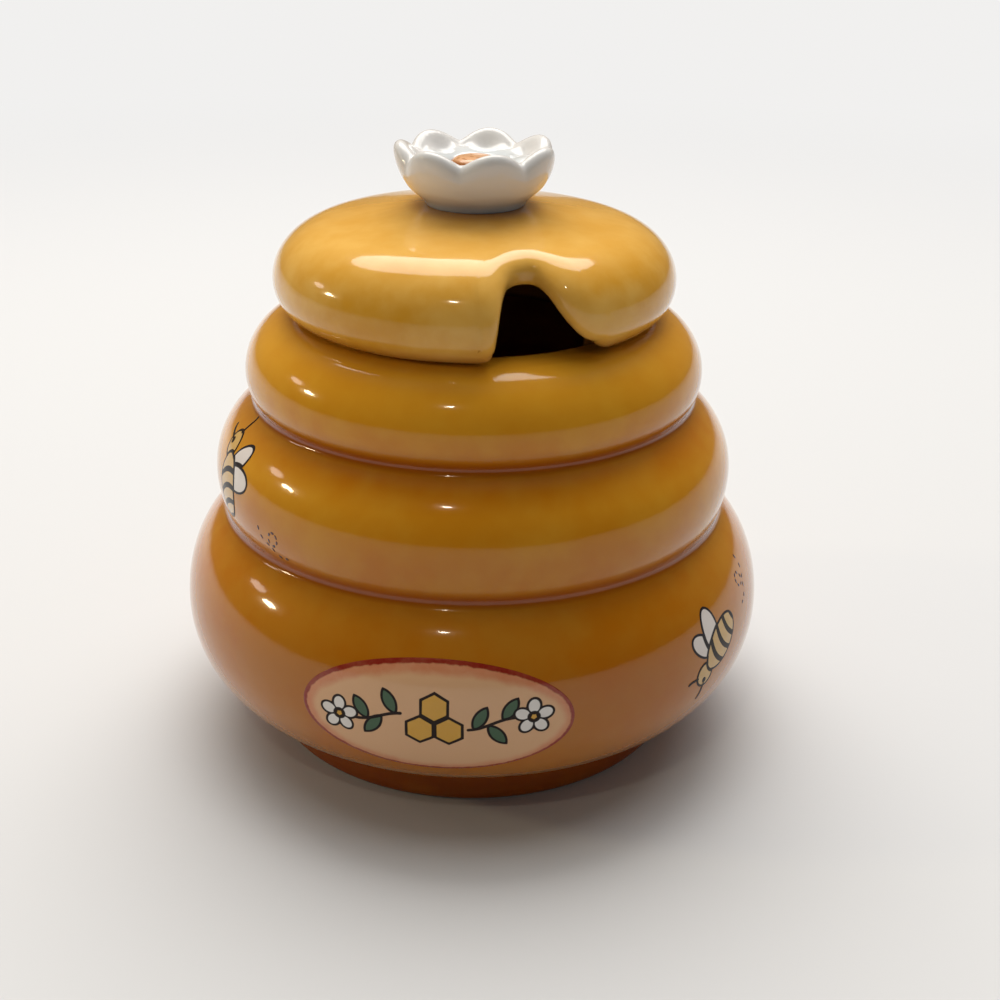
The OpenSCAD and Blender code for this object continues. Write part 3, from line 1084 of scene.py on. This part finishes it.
    def build(self, effects: Effects) -> list[Piece]:
        """The sheet with its thickness and round edge, and the ring that sits in the pot's mouth.

        The edge is a half round: with the half wall h, the normal n and the way out w it stands at
        h * (cos a * n + sin a * w) from its middle line, a from 0 to 180 degrees.

        Args:
            effects: The shared groups.

        Returns:
            The sheet and the ring.
        """
        outer, rolled = self._sheet()
        rows, cols = rolled.shape
        flat = outer.reshape(-1, 3)
        normals = point_normals(flat, faces_of_grid(rows, cols)).reshape(outer.shape)
        if normals[rows // 2, :, 2].mean() < 0:
            normals = -normals
        normals[-1] = (0.0, 0.0, 1.0)
        along = np.roll(outer[0], -1, axis=0) - np.roll(outer[0], 1, axis=0)
        along /= np.linalg.norm(along, axis=1, keepdims=True)
        away = np.cross(along, normals[0])
        away *= np.sign(np.einsum("ij,ij->", away, outer[0] - outer[1]))
        half = (self.wall + (self.lip_wall - self.wall) * rolled[0][:, None]) / 2
        angle = np.radians(np.linspace(0.0, 180.0, 13))[1:-1, None, None]
        centre = outer[0] - half * normals[0]
        round_edge = centre + half * (np.cos(angle) * normals[0] + np.sin(angle) * away)
        depth = np.linspace(0.0, 1.0, rows)[:, None, None] ** 0.6
        inner = outer - (2 * half + (self.wall - 2 * half) * depth) * normals
        grid = np.concatenate([outer[::-1], round_edge, inner])
        points = grid.reshape(-1, 3)
        quads = faces_of_grid(len(grid), cols, poles=True)
        radius = np.linalg.norm(grid[..., :2], axis=-1)
        # Darker towards the lid's lower edge, and painted shade on the dome round the knob's foot.
        low = step_up(grid[..., 2], 81.0, 78.0)
        neck = step_up(radius, self.pad_r + 3.2, self.pad_r - 0.2) * (grid[..., 2] > 94.0)
        pool_and_shade = np.maximum(0.45 * low, 0.55 * neck)
        pool_and_shade[rows:] = 0.0
        thin = np.zeros(grid.shape[:2])
        thin[:rows] = 0.35 * rolled[::-1] + 0.55 * step_up(grid[:rows, :, 2], 88.0, 93.0)
        glaze = AmberGlaze("amber_lid_glaze", body=self.glaze_body, thin=self.glaze_thin).material(effects)
        sheet = Piece("domed_lid", points, quads, {"pool_and_shade": pool_and_shade, "thin": thin, "bare": np.zeros(len(points))})
        sheet.dress(glaze, Slot.LID).stand_for(Body.LID, "lid")
        return [sheet, self._seat(glaze)]

    def _seat(self, glaze: bpy.types.Material) -> Piece:
        """The ring under the lid: a closed section carried along an arc that stops at the notch.

        Args:
            glaze: The lid's material.

        Returns:
            The ring.
        """
        r, z = self.ring_r, 77.38
        corners = np.array([(r, z), (r, 73.4), (r - 0.8, 72.7), (r - 2.6, 72.7), (r - 3.4, 73.5), (r - 3.4, 79.0),
                            (r - 2.0, 80.9), (r + 1.5, 81.4), (r + 4.9, 81.2), (r + 4.9, z), (r, z)])
        section = Outline(corners, rounding=0.25)
        ring = section.at(np.linspace(0.0, section.length, 90, endpoint=False))
        start = math.radians(self.notch_right[0] + self.seat_clear[1] - 90)
        end = math.radians(self.notch_left[0] - self.seat_clear[0] + 270)
        a = np.linspace(start, end, 240 if FINE else 90)[:, None]
        r, z = ring.T
        grid = np.stack([r * np.cos(a), r * np.sin(a), np.broadcast_to(z, (len(a), len(z)))], axis=-1)
        middle = grid.mean(axis=1, keepdims=True)
        shrink = np.array([0.0, 0.55, 0.85])[:, None, None]
        first = middle[:1] + (grid[:1] - middle[:1]) * shrink
        last = middle[-1:] + (grid[-1:] - middle[-1:]) * shrink[::-1]
        whole = np.concatenate([first, grid, last])
        points = whole.reshape(-1, 3)
        masks = {key: np.zeros(len(points)) for key in ("pool_and_shade", "thin", "bare")}
        piece = Piece("lid_seat", points, faces_of_grid(len(whole), len(ring), poles=True), masks)
        return piece.dress(glaze, Slot.LID).stand_for(Body.LID)


# ---- Flower ----


@dataclass
class FlowerKnob:
    """A shallow flower with cupped petals and a round middle. Sizes in mm and degrees."""

    petals: int = 7
    bearing: float = -76.0
    base_z: float = 95.3
    dip: float = 2.0
    tuck: float = 1.1
    cup: float = 1.0
    cusp: float = 0.16
    hollow: tuple[float, float] = (9.0, 1.7)
    disc_r: float = 4.3
    disc_z: float = 101.7
    columns: int = 336 if FINE else 140

    def _outline(self) -> Outline:
        """The bowl at the middle of a petal: up the outside, over the lip and down to the middle.

        Returns:
            The outline, as radius and height.
        """
        points = [
            (0.0, self.base_z), (8.2, self.base_z), (8.7, 95.8), (9.0, 96.5), (10.2, 97.5), (11.6, 98.8),
            (12.7, 100.6), (13.4, 102.3), (13.8, 104.0), (13.85, 105.0), (13.5, 105.8), (12.8, 106.15),
            (12.0, 106.0), (11.3, 105.5), (10.6, 104.8), (9.8, 104.2), (8.6, 103.7), (7.2, 103.3), (5.6, 102.9),
            (4.7, 102.4), (4.1, self.disc_z), (0.0, self.disc_z),
        ]
        return Outline(np.array(points), rounding=0.42)

    def build(self, effects: Effects) -> list[Piece]:
        """The flower and its disc.

        With t running from -1 to 1 over a petal, k goes as 1 - sqrt(cos(pi t / 2)^2 + cusp^2), from 0 at its middle
        to 1 between the petals. The lip falls by dip * k and draws in by tuck * k. Inside, each petal is hollowed by
        cup * exp(-((r - h) / w)^2) * (1 - k)^2, h and w in hollow, which leaves ridges between the petals.

        Args:
            effects: The shared groups.

        Returns:
            The flower and its disc.
        """
        line = self._outline()
        s = np.linspace(0.0, line.length, 120 if FINE else 60)
        path = line.at(s)
        crest = s[np.argmax(path[:, 1])]
        outside = s < crest
        a = np.linspace(0.0, 360.0, self.columns, endpoint=False)
        t = ((a - self.bearing) * self.petals / 360.0 + 0.5) % 1.0 * 2.0 - 1.0
        e = self.cusp
        k = 1.0 - (np.sqrt(np.cos(np.pi * t / 2) ** 2 + e**2) - e) / (math.sqrt(1 + e**2) - e)
        r, z = path[:, :1], path[:, 1:]
        lobe = 0.2 * step_up(z, 96.4, 100.0) + 0.8 * step_up(z, 100.0, 105.8)
        lip = np.where(outside[:, None], lobe, step_up(z, 103.2, 105.6))
        hollow = np.where(outside[:, None], 0.0, np.exp(-(((r - self.hollow[0]) / self.hollow[1]) ** 2)))
        radius = r - k * self.tuck * lip
        height = z - k * self.dip * lip - self.cup * hollow * (1.0 - k) ** 2
        ang = np.radians(a)
        grid = np.stack([radius * np.cos(ang), radius * np.sin(ang), height], axis=-1)
        quads = faces_of_grid(len(s), self.columns, poles=True)
        # Glaze pools in the petals' hollows inside; shade is painted low on the outer wall.
        pool_and_shade = np.where(outside[:, None], step_up(z, 98.5, 95.8), step_up(z, 104.6, 102.4)) * np.ones_like(k)
        flower = Piece("flower_knob_petals", grid.reshape(-1, 3), quads, {"pool_and_shade": pool_and_shade})
        flower.dress(WhiteGlaze().material(effects), Slot.WHITE).stand_for(Body.LID, "flower_knob")
        return [flower, self._disc(effects)]

    def _disc(self, effects: Effects) -> Piece:
        """The round middle, a low dome of revolution.

        Args:
            effects: The shared groups.

        Returns:
            The piece.
        """
        low, r = self.disc_z - 0.15, self.disc_r
        points = np.array([(0.0, low), (r - 0.2, low), (r, low + 0.5), (r - 0.1, low + 1.2), (r - 0.9, low + 1.75),
                           (r - 2.2, low + 2.05), (0.0, low + 2.1)])
        line = Outline(points, rounding=0.25)
        path = line.at(np.linspace(0.0, line.length, 48))
        grid, quads = turned(path, 96)
        pool_and_shade = np.repeat(step_up(path[:, 0], r - 0.9, r - 0.1), 96)
        piece = Piece("flower_middle", grid, quads, {"pool_and_shade": pool_and_shade})
        return piece.dress(DiscGlaze().material(effects), Slot.DISC).stand_for(Body.LID, "flower_disc")


# ---- Artwork ----


class Shape:
    """Signed distances to flat shapes on a grid (x, y), in mm and negative inside. Turns are in degrees."""

    def __init__(self, x: np.ndarray, y: np.ndarray) -> None:
        """Keeps the grid."""
        self.x, self.y = x, y

    def _local(self, centre: Point, turn: float) -> tuple[np.ndarray, np.ndarray]:
        """The grid seen from a centre, with its first axis turned.

        Args:
            centre: New origin.
            turn: Bearing of the new first axis.

        Returns:
            The two coordinates.
        """
        c, s = math.cos(math.radians(turn)), math.sin(math.radians(turn))
        u, v = self.x - centre[0], self.y - centre[1]
        return c * u + s * v, -s * u + c * v

    def oval(self, centre: Point, size: Point, turn: float = 0.0) -> np.ndarray:
        """Near distance to an ellipse: (k - 1) k / |(u / a^2, v / b^2)| with k = |(u / a, v / b)|.

        Args:
            centre: Its middle.
            size: Its two whole axes.
            turn: Bearing of its first axis.

        Returns:
            The distances.
        """
        u, v = self._local(centre, turn)
        a, b = size[0] / 2, size[1] / 2
        k = np.maximum(np.hypot(u / a, v / b), 1e-6)
        return (k - 1.0) * k / np.maximum(np.hypot(u / a**2, v / b**2), 1e-6)

    def leaf(self, root: Point, length: float, width: float, turn: float) -> np.ndarray:
        """Distance to a pointed leaf: the overlap of two discs whose middles lie on either side of it.

        Args:
            root: Its lower point.
            length: Its length.
            width: Its width.
            turn: Bearing of its tip.

        Returns:
            The distances.
        """
        u, v = self._local(root, turn)
        u = u - length / 2
        off = (length**2 / 4 - width**2 / 4) / width
        return np.maximum(np.hypot(u, v - off), np.hypot(u, v + off)) - (off + width / 2)

    def cell(self, centre: Point, size: float) -> np.ndarray:
        """Distance to a hexagon with points up: the largest of three slab distances, less half the size."""
        u, v = np.abs(self.x - centre[0]), np.abs(self.y - centre[1])
        return np.maximum(u, 0.5 * u + math.sqrt(0.75) * v) - size / 2

    def line(self, path: np.ndarray, thick: float) -> np.ndarray:
        """Distance to a stroke along a path: the least distance to any of its parts, less half its thickness.

        Args:
            path: Rows of two coordinates.
            thick: Thickness of the stroke.

        Returns:
            The distances.
        """
        best = np.full(self.x.shape, 1e3)
        for a, b in zip(path[:-1], path[1:]):
            d = b - a
            u, v = self.x - a[0], self.y - a[1]
            share = np.clip((u * d[0] + v * d[1]) / max(float(d @ d), 1e-12), 0.0, 1.0)
            best = np.minimum(best, np.hypot(u - share * d[0], v - share * d[1]))
        return best - thick / 2


@dataclass
class Artwork:
    """Flat artwork that is laid on the pot as a skin a hair's breadth thick. Sizes in mm and degrees."""

    pot: HivePot
    name: str
    bearing: float
    height: float
    turn: float = 0.0
    proud: float = 0.05
    sunk: float = -0.08

    def place(self, x: np.ndarray, y: np.ndarray, proud: float) -> np.ndarray:
        """Turns flat points by the artwork's angle and lays them on the pot."""
        c, s = math.cos(math.radians(self.turn)), math.sin(math.radians(self.turn))
        return self.pot.lay(c * x - s * y, s * x + c * y, self.bearing, self.height, proud)

    def skin(self, x: np.ndarray, y: np.ndarray, outside: np.ndarray, masks: dict[str, np.ndarray]) -> Piece:
        """Cuts a flat grid along an outline and gives it two faces and a thin edge.

        Cells with a corner inside are kept, and their outer corners are pulled to the outline by one step down the
        distance.

        Args:
            x: Grid of distances to the right.
            y: Grid of distances upwards.
            outside: Signed distance to the outline at each point.
            masks: Values at each point.

        Returns:
            The piece.
        """
        gy, gx = np.gradient(outside, y[:, 0], x[0])
        size = np.maximum(gx * gx + gy * gy, 1e-6)
        pull = np.clip(outside, 0.0, 0.6)
        px, py = x - pull * gx / size, y - pull * gy / size
        quads = faces_of_grid(*x.shape, wrap=False)
        flat = outside.ravel()
        quads = quads[(flat[quads] < 0).any(axis=1)]
        top = self.place(px, py, self.proud).reshape(-1, 3)
        low = self.place(px, py, self.sunk).reshape(-1, 3)
        edges = np.concatenate([quads[:, [k, (k + 1) % 4]] for k in range(4)])
        key = np.sort(edges, axis=1) @ np.array([x.size, 1])
        _, first, count = np.unique(key, return_index=True, return_counts=True)
        rim = edges[first[count == 1]]
        walls = np.stack([rim[:, 1], rim[:, 0], rim[:, 0] + x.size, rim[:, 1] + x.size], axis=1)
        faces = np.concatenate([quads, walls, quads[:, ::-1] + x.size])
        both = {mask: np.tile(value.ravel(), 2) for mask, value in masks.items()}
        piece = Piece(self.name, np.concatenate([top, low]), faces, both)
        mesh = piece.obj.data
        smooth = np.ones(len(mesh.polygons), dtype=bool)
        smooth[len(quads) : len(quads) + len(walls)] = False
        mesh.polygons.foreach_set("use_smooth", smooth)
        return piece


def flat_grid(width: float, height: float, step: float, centre: Point = (0.0, 0.0)) -> tuple[np.ndarray, np.ndarray]:
    """A flat grid of points about a centre, in mm.

    Args:
        width: Its width.
        height: Its height.
        step: Its largest spacing is a little over this.
        centre: Its middle.

    Returns:
        The two coordinates.
    """
    xs = centre[0] + np.linspace(-width / 2, width / 2, int(width / step) + 1)
    ys = centre[1] + np.linspace(-height / 2, height / 2, int(height / step) + 1)
    return tuple(np.meshgrid(xs, ys))


@dataclass
class OvalLabel:
    """The oval on the lowest ring, with a garland of leaves and blossoms about three honey cells."""

    pot: HivePot
    width: float = 43.8
    tall: float = 20.4
    bearing: float = -96.5
    height: float = 25.25
    line: float = 0.55
    cell_size: float = 4.3
    petal: float = 2.6
    stem: tuple[float, float] = (5.4, 13.6)
    leaves: tuple[tuple[float, float, float], ...] = ((0.10, 62, 4.4), (0.38, -52, 4.6), (0.66, 58, 4.2))
    leaf_w: float = 2.0
    blossom_x: float = 15.6

    def _cells(self, flat: Shape) -> np.ndarray:
        """Distance to three honey cells about the middle.

        Args:
            flat: The label's grid.

        Returns:
            The distances.
        """
        size = self.cell_size
        spots = ((-size / 2, -0.32 * size), (size / 2, -0.32 * size), (0.0, (math.sqrt(0.75) - 0.32) * size))
        return np.minimum.reduce([flat.cell((1.08 * cx, 1.08 * cy), size) for cx, cy in spots])

    def _spray(self, flat: Shape, way: float) -> tuple[np.ndarray, np.ndarray, np.ndarray, np.ndarray]:
        """Distances to one spray: a wavy stem with leaves and a blossom at its end.

        Args:
            flat: The label's grid.
            way: -1 for the left spray, 1 for the right one.

        Returns:
            Distances to the stem, the leaves, the blossom and its heart.
        """
        u = np.linspace(0.0, 1.0, 14)
        near, far = self.stem
        height = way * (-1.6 + 3.4 * u) * np.sin(math.pi * (0.25 + 0.6 * u))
        stem = flat.line(np.stack([way * (near + (far - near) * u), height], axis=1), self.line)
        leaves = []
        for share, angle, length in self.leaves:
            root = (way * (near + (far - near) * share), float(np.interp(share, u, height)))
            leaves.append(flat.leaf(root, length, self.leaf_w, angle if way > 0 else 180 - angle))
        middle = (way * self.blossom_x, float(height[-1]))
        reach = 0.72 * self.petal
        petals = [
            flat.oval((middle[0] + reach * math.cos(a), middle[1] + reach * math.sin(a)),
                      (self.petal, 0.82 * self.petal), math.degrees(a))
            for a in np.radians(90 + 72 * np.arange(5))
        ]
        heart = flat.oval(middle, (0.62 * self.petal, 0.62 * self.petal))
        return stem, np.minimum.reduce(leaves), np.minimum.reduce(petals), heart

    def build(self, effects: Effects) -> Piece:
        """Works out the distances of each painted thing and lays the oval on the pot.

        The brushed rim is wider where heavy is near 1, at the top left.

        Args:
            effects: The shared groups.

        Returns:
            The piece.
        """
        x, y = flat_grid(self.width + 1.0, self.tall + 1.0, 0.16 if FINE else 0.4)
        flat = Shape(x, y)
        outside = flat.oval((0.0, 0.0), (self.width, self.tall))
        heavy = 0.5 + 0.5 * np.clip((y / self.tall * 2 - 0.35 * x / self.width * 2) * 0.9 + 0.15, -1, 1)
        masks = {"rim": -(outside + 0.32 + 0.42 * heavy), "wash": -(outside + 0.8 + 1.5 * heavy)}
        cell = self._cells(flat)
        ink, leaf, bloom = (np.full(x.shape, 1e3) for _ in range(3))
        for way in (-1.0, 1.0):
            stem, leaves, blossom, heart = self._spray(flat, way)
            ink, leaf = (np.maximum(np.minimum(a, b), -blossom) for a, b in ((ink, stem), (leaf, leaves)))
            cell, bloom = np.minimum(cell, heart), np.minimum(bloom, blossom)
        masks |= {"ink": ink, "leaf": leaf, "bloom": bloom, "cell": cell}
        piece = Artwork(self.pot, "label_oval", self.bearing, self.height).skin(x, y, outside, masks)
        return piece.dress(LabelPaint().material(effects), Slot.LABEL).stand_for(Body.POT, "oval_label")


@dataclass
class PaintedBee:
    """A bee seen from the side, with two raised wings. Flat sizes in mm, head towards +x.

    The place is its bearing, its height and its turn. Each oval is its middle, its axes and, on a wing, its turn.
    """

    pot: HivePot
    name: str
    node: str
    place: tuple[float, float, float]
    scale: float = 17.5 / 15
    body: tuple[Point, Point] = ((-1.2, 0.0), (9.6, 6.0))
    head: tuple[Point, Point] = ((4.6, 0.2), (4.0, 3.9))
    eye: tuple[Point, Point] = ((5.2, 0.9), (0.9, 1.0))
    wings: tuple[tuple[Point, Point, float], ...] = (((-0.6, -3.9), (7.0, 3.8), -112), ((2.2, -3.7), (6.0, 3.4), -72))
    feeler_w: float = 0.42
    stripe_pitch: float = 2.3
    stripe_w: float = 0.84
    edge_w: float = 0.26
    vein_w: float = 0.34
    border_w: float = 0.36

    def build(self, paint: bpy.types.Material) -> Piece:
        """Works out the distances of body, wings and ink, and lays the bee on the pot.

        The stripes are bent bands: x + 0.1 y^2 within half a stripe of a multiple of the pitch.

        Args:
            paint: The bees' material.

        Returns:
            The piece.
        """
        x, y = flat_grid(16.5, 12.5, 0.09 if FINE else 0.25, (0.9, -1.6))
        flat = Shape(x, y)
        body, head, eye = (flat.oval(*part) for part in (self.body, self.head, self.eye))
        wings = [flat.oval(*part) for part in self.wings]
        trunk = np.minimum(body, head)
        wing = np.maximum(np.minimum(*wings), -trunk)
        bend = np.linspace(0.0, 1.0, 8)
        feelers = [np.stack([5.6 + 1.9 * bend, 1.4 + 1.5 * np.sin(1.4 * bend)], axis=1),
                   np.stack([6.1 + 1.7 * bend, -0.6 - 1.0 * np.sin(1.4 * bend)], axis=1)]
        feeler = np.minimum(*(flat.line(path, self.feeler_w) for path in feelers))
        outside = np.minimum.reduce([body, head, *wings, feeler])
        across = (x + 1.2 + 0.10 * y * y + 8.0) % self.stripe_pitch - self.stripe_pitch / 2
        stripes = np.where(x > 2.8, 1e3, np.maximum(np.abs(across) - self.stripe_w / 2, body))
        behind = np.maximum(np.abs(wings[1]) - self.vein_w, -wings[0])
        veins = np.maximum(np.minimum(np.abs(wings[0]) - self.vein_w, behind), -trunk)
        edges = np.minimum(np.maximum(np.abs(head), -body), np.abs(body)) - self.edge_w
        ink = np.minimum.reduce([edges, stripes, veins, feeler, eye, -(outside + self.border_w)])
        art = Artwork(self.pot, self.name, *self.place)
        s = self.scale
        piece = art.skin(s * x, s * y, s * outside, {"wing": s * wing, "ink": s * ink})
        return piece.dress(paint, Slot.BEE).stand_for(Body.POT, self.node)


@dataclass
class FlightTrail:
    """Dashes along a path with one loop. Flat sizes in mm. The place is its bearing, its height and its turn."""

    pot: HivePot
    name: str
    node: str
    place: tuple[float, float, float]
    dash: float = 0.84
    thick: float = 0.50
    count: int = 12

    @staticmethod
    def _way(u: np.ndarray) -> np.ndarray:
        """The path (4.7 v - 1.75 sin 3 pi v, 1.75 cos 3 pi v), v = u - 1/2, for u from 0 to 1."""
        v = u - 0.5
        return np.stack([4.7 * v - 1.75 * np.sin(3 * np.pi * v), 1.75 * np.cos(3 * np.pi * v)], axis=-1)

    def build(self, paint: bpy.types.Material) -> Piece:
        """Each dash is a stretched disc with a low dome, laid along the path.

        With the ring number q from 0 to 1 and the angle a, a point stands at (L q cos a, W q sin a) from the middle
        of the dash, with its ends made blunter, and above or below the glaze by the heights in top.

        Args:
            paint: The trails' material.

        Returns:
            The piece with all dashes.
        """
        art = Artwork(self.pot, self.name, *self.place)
        u = (np.arange(self.count) + 0.5) / self.count
        middle = self._way(u)
        ahead = self._way(u + 0.01) - self._way(u - 0.01)
        ahead /= np.linalg.norm(ahead, axis=1, keepdims=True)
        q = np.array([0.0, 0.5, 0.85, 1.0, 0.6, 0.0])
        top = np.array([1.0, 0.94, 0.5, 0.0, -1.0, -1.0])
        a = np.linspace(0.0, 2 * np.pi, 16, endpoint=False)
        along = self.dash / 2 * q[:, None] * np.sign(np.cos(a)) * np.abs(np.cos(a)) ** 0.6
        across = self.thick / 2 * q[:, None] * np.sign(np.sin(a)) * np.abs(np.sin(a)) ** 0.8
        x = middle[:, 0, None, None] + along * ahead[:, 0, None, None] - across * ahead[:, 1, None, None]
        y = middle[:, 1, None, None] + along * ahead[:, 1, None, None] + across * ahead[:, 0, None, None]
        grid = art.place(x, y, 0.06 * np.broadcast_to(top[None, :, None], x.shape))
        size = grid.shape[1] * grid.shape[2]
        quads = faces_of_grid(grid.shape[1], grid.shape[2], poles=True)
        faces = (quads[None] + size * np.arange(self.count)[:, None, None]).reshape(-1, 4)
        piece = Piece(self.name, grid.reshape(-1, 3), faces)
        return piece.dress(paint, Slot.TRAIL).stand_for(Body.POT, self.node)


# ---- Studio ----


@dataclass(frozen=True)
class Lamp:
    """A flat oval lamp that looks at the pot. Lengths in metres."""

    name: str
    place: tuple[float, float, float]
    size: tuple[float, float]
    power: float
    colour: Rgb = (1.0, 1.0, 1.0)
    target: tuple[float, float, float] = (0.0, 0.0, 0.05)

    def build(self) -> None:
        """Adds the lamp to the scene."""
        data = bpy.data.lights.new(self.name, "AREA")
        data.shape = "ELLIPSE"
        data.size, data.size_y = self.size
        data.energy = self.power
        data.color = self.colour
        lamp = bpy.data.objects.new(self.name, data)
        lamp.location = self.place
        way = Vector(self.target) - Vector(self.place)
        lamp.rotation_euler = way.to_track_quat("-Z", "Y").to_euler()
        lamp.visible_camera = False
        bpy.context.scene.collection.objects.link(lamp)


@dataclass(frozen=True)
class Studio:
    """Floor, lamps and camera. Lengths in metres, the camera's angles in radians, the sky's in degrees."""

    floor: Rgb = (0.55, 0.547, 0.543)
    backdrop: Rgb = (0.88, 0.872, 0.862)
    focal: float = 1.4362
    eye: tuple[float, float, float] = (0.0, -0.2441, 0.1507)
    pitch: float = 0.426
    roll: float = 0.015
    yaw: float = 0.021
    shift: float = -0.001
    fade: tuple[float, float] = (0.22, 0.75)
    sky: float = 2.2
    sky_tilt: float = -26.0
    sky_spread: float = 80.0
    mirror_front: Rgb = (0.04, 0.026, 0.012)
    mirror_back: Rgb = (0.27, 0.175, 0.085)
    soft_front: Rgb = (0.12, 0.12, 0.12)
    soft_back: Rgb = (0.52, 0.52, 0.52)
    lamps: tuple[Lamp, ...] = (
        Lamp("window", (-0.015, 0.42, 0.86), (0.98, 0.60), 7.2, (1.0, 0.97, 0.93)),
        Lamp("side", (-0.9, -0.03, 0.36), (0.12, 0.05), 1.1, (1.0, 0.86, 0.55)),
        Lamp("pane", (-0.85, 0.16, 0.42), (0.15, 0.09), 0.22, (1.0, 0.84, 0.76)),
        Lamp("ceiling", (-0.16, -0.60, 0.80), (0.06, 0.03), 0.45, (1.0, 0.90, 0.70)),
    )

    def build(self) -> None:
        """Sets up floor, world, lamps, camera and colour management."""
        self._floor()
        self._world()
        self._sky()
        for lamp in self.lamps:
            lamp.build()
        self._camera()
        bpy.context.scene.view_settings.view_transform = "Standard"

    def _floor(self) -> None:
        """A wide round floor of plain pale matt colour, which a camera sees fade into the backdrop far away."""
        a = np.linspace(0.0, 2 * np.pi, 64, endpoint=False)
        points = np.stack([4.0 * np.cos(a), 4.0 * np.sin(a), np.zeros(64)], axis=1)
        mesh = bpy.data.meshes.new("floor")
        mesh.from_pydata(points.tolist(), [], [list(range(64))])
        floor = bpy.data.objects.new("floor", mesh)
        bpy.context.scene.collection.objects.link(floor)
        material = bpy.data.materials.new("floor")
        material.use_nodes = True
        tree = material.node_tree
        surface, out = tree.nodes["Principled BSDF"], tree.nodes["Material Output"]
        surface.inputs["Base Color"].default_value = (*self.floor, 1.0)
        surface.inputs["Roughness"].default_value = 0.9
        surface.inputs["Specular IOR Level"].default_value = 0.1
        g = Graph(tree)
        away = g.add("VectorMath", {0: g.add("TexCoord").outputs["Object"]}, operation="LENGTH").outputs["Value"]
        far = g.math("MULTIPLY", g.span(away, *self.fade), g.add("LightPath").outputs["Is Camera Ray"])
        glow = g.add("Emission", {"Color": (*self.backdrop, 1.0)}).outputs[0]
        both = g.add("MixShader", {0: far, 1: surface.outputs[0], 2: glow}).outputs[0]
        tree.links.new(both, out.inputs[0])
        mesh.materials.append(material)

    def _sky(self) -> None:
        """A very soft light from above and a little behind, which no glaze mirrors."""
        data = bpy.data.lights.new("sky", "SUN")
        data.energy = self.sky
        data.angle = math.radians(self.sky_spread)
        sky = bpy.data.objects.new("sky", data)
        sky.rotation_euler = (math.radians(self.sky_tilt), 0.0, 0.0)
        sky.visible_camera = False
        sky.visible_glossy = False
        bpy.context.scene.collection.objects.link(sky)

    def _world(self) -> None:
        """Even light that a camera sees as a pale backdrop. A glaze sees it dark in front and tan behind."""
        world = bpy.data.worlds.new("studio")
        world.use_nodes = True
        tree = world.node_tree
        tree.nodes.clear()
        g = Graph(tree)
        path = g.add("LightPath")
        way = g.add("SeparateXYZ", {0: g.add("TexCoord").outputs["Generated"]}).outputs["Y"]
        mirrored = g.blend(g.span(way, -0.25, 0.75), self.mirror_front, self.mirror_back)
        soft = g.blend(g.span(way, -0.5, 0.8), self.soft_front, self.soft_back)
        dim = g.blend(path.outputs["Is Glossy Ray"], soft, mirrored)
        seen = g.blend(path.outputs["Is Camera Ray"], dim, self.backdrop)
        back = g.add("Background", {"Color": seen, "Strength": 1.0})
        out = tree.nodes.new("ShaderNodeOutputWorld")
        tree.links.new(back.outputs[0], out.inputs[0])
        bpy.context.scene.world = world

    def _camera(self) -> None:
        """The camera, from its pitch downwards, yaw to the right and roll."""
        cy, sy = math.cos(self.yaw), math.sin(self.yaw)
        cp, sp = math.cos(self.pitch), math.sin(self.pitch)
        ahead = Vector((sy * cp, cy * cp, -sp))
        right = Vector((cy, -sy, 0.0))
        up = right.cross(ahead)
        cr, sr = math.cos(self.roll), math.sin(self.roll)
        right, up = cr * right + sr * up, cr * up - sr * right
        turn = Matrix((right, up, -ahead)).transposed()
        data = bpy.data.cameras.new("camera")
        data.sensor_width = 36.0
        data.lens = 36.0 * self.focal
        data.clip_start = 0.01
        data.shift_x = self.shift
        camera = bpy.data.objects.new("camera", data)
        camera.matrix_world = Matrix.Translation(self.eye) @ turn.to_4x4()
        bpy.context.scene.collection.objects.link(camera)
        bpy.context.scene.camera = camera


def main() -> None:
    """Builds every piece in order, and the studio around them."""
    logging.basicConfig(level=logging.INFO, format="%(message)s")
    effects = Effects()
    pot = HivePot()
    pieces = pot.build(effects)
    pieces += NotchedLid().build(effects)
    pieces += FlowerKnob().build(effects)
    pieces.append(OvalLabel(pot).build(effects))
    bees = BeePaint().material(effects)
    ink = TrailInk().material(effects)
    pieces.append(PaintedBee(pot, "bee_left", "left_bee", (-156.0, 52.5, 113.0)).build(bees))
    pieces.append(PaintedBee(pot, "bee_right", "right_bee", (-37.5, 27.2, 215.0)).build(bees))
    pieces.append(FlightTrail(pot, "trail_left", "left_trail", (-135.5, 46.9, -30.0)).build(ink))
    pieces.append(FlightTrail(pot, "trail_right", "right_trail", (-23.5, 34.2, 62.0)).build(ink))
    Studio().build()
    LOG.info("%d pieces", len(pieces))


if __name__ == "__main__":
    main()
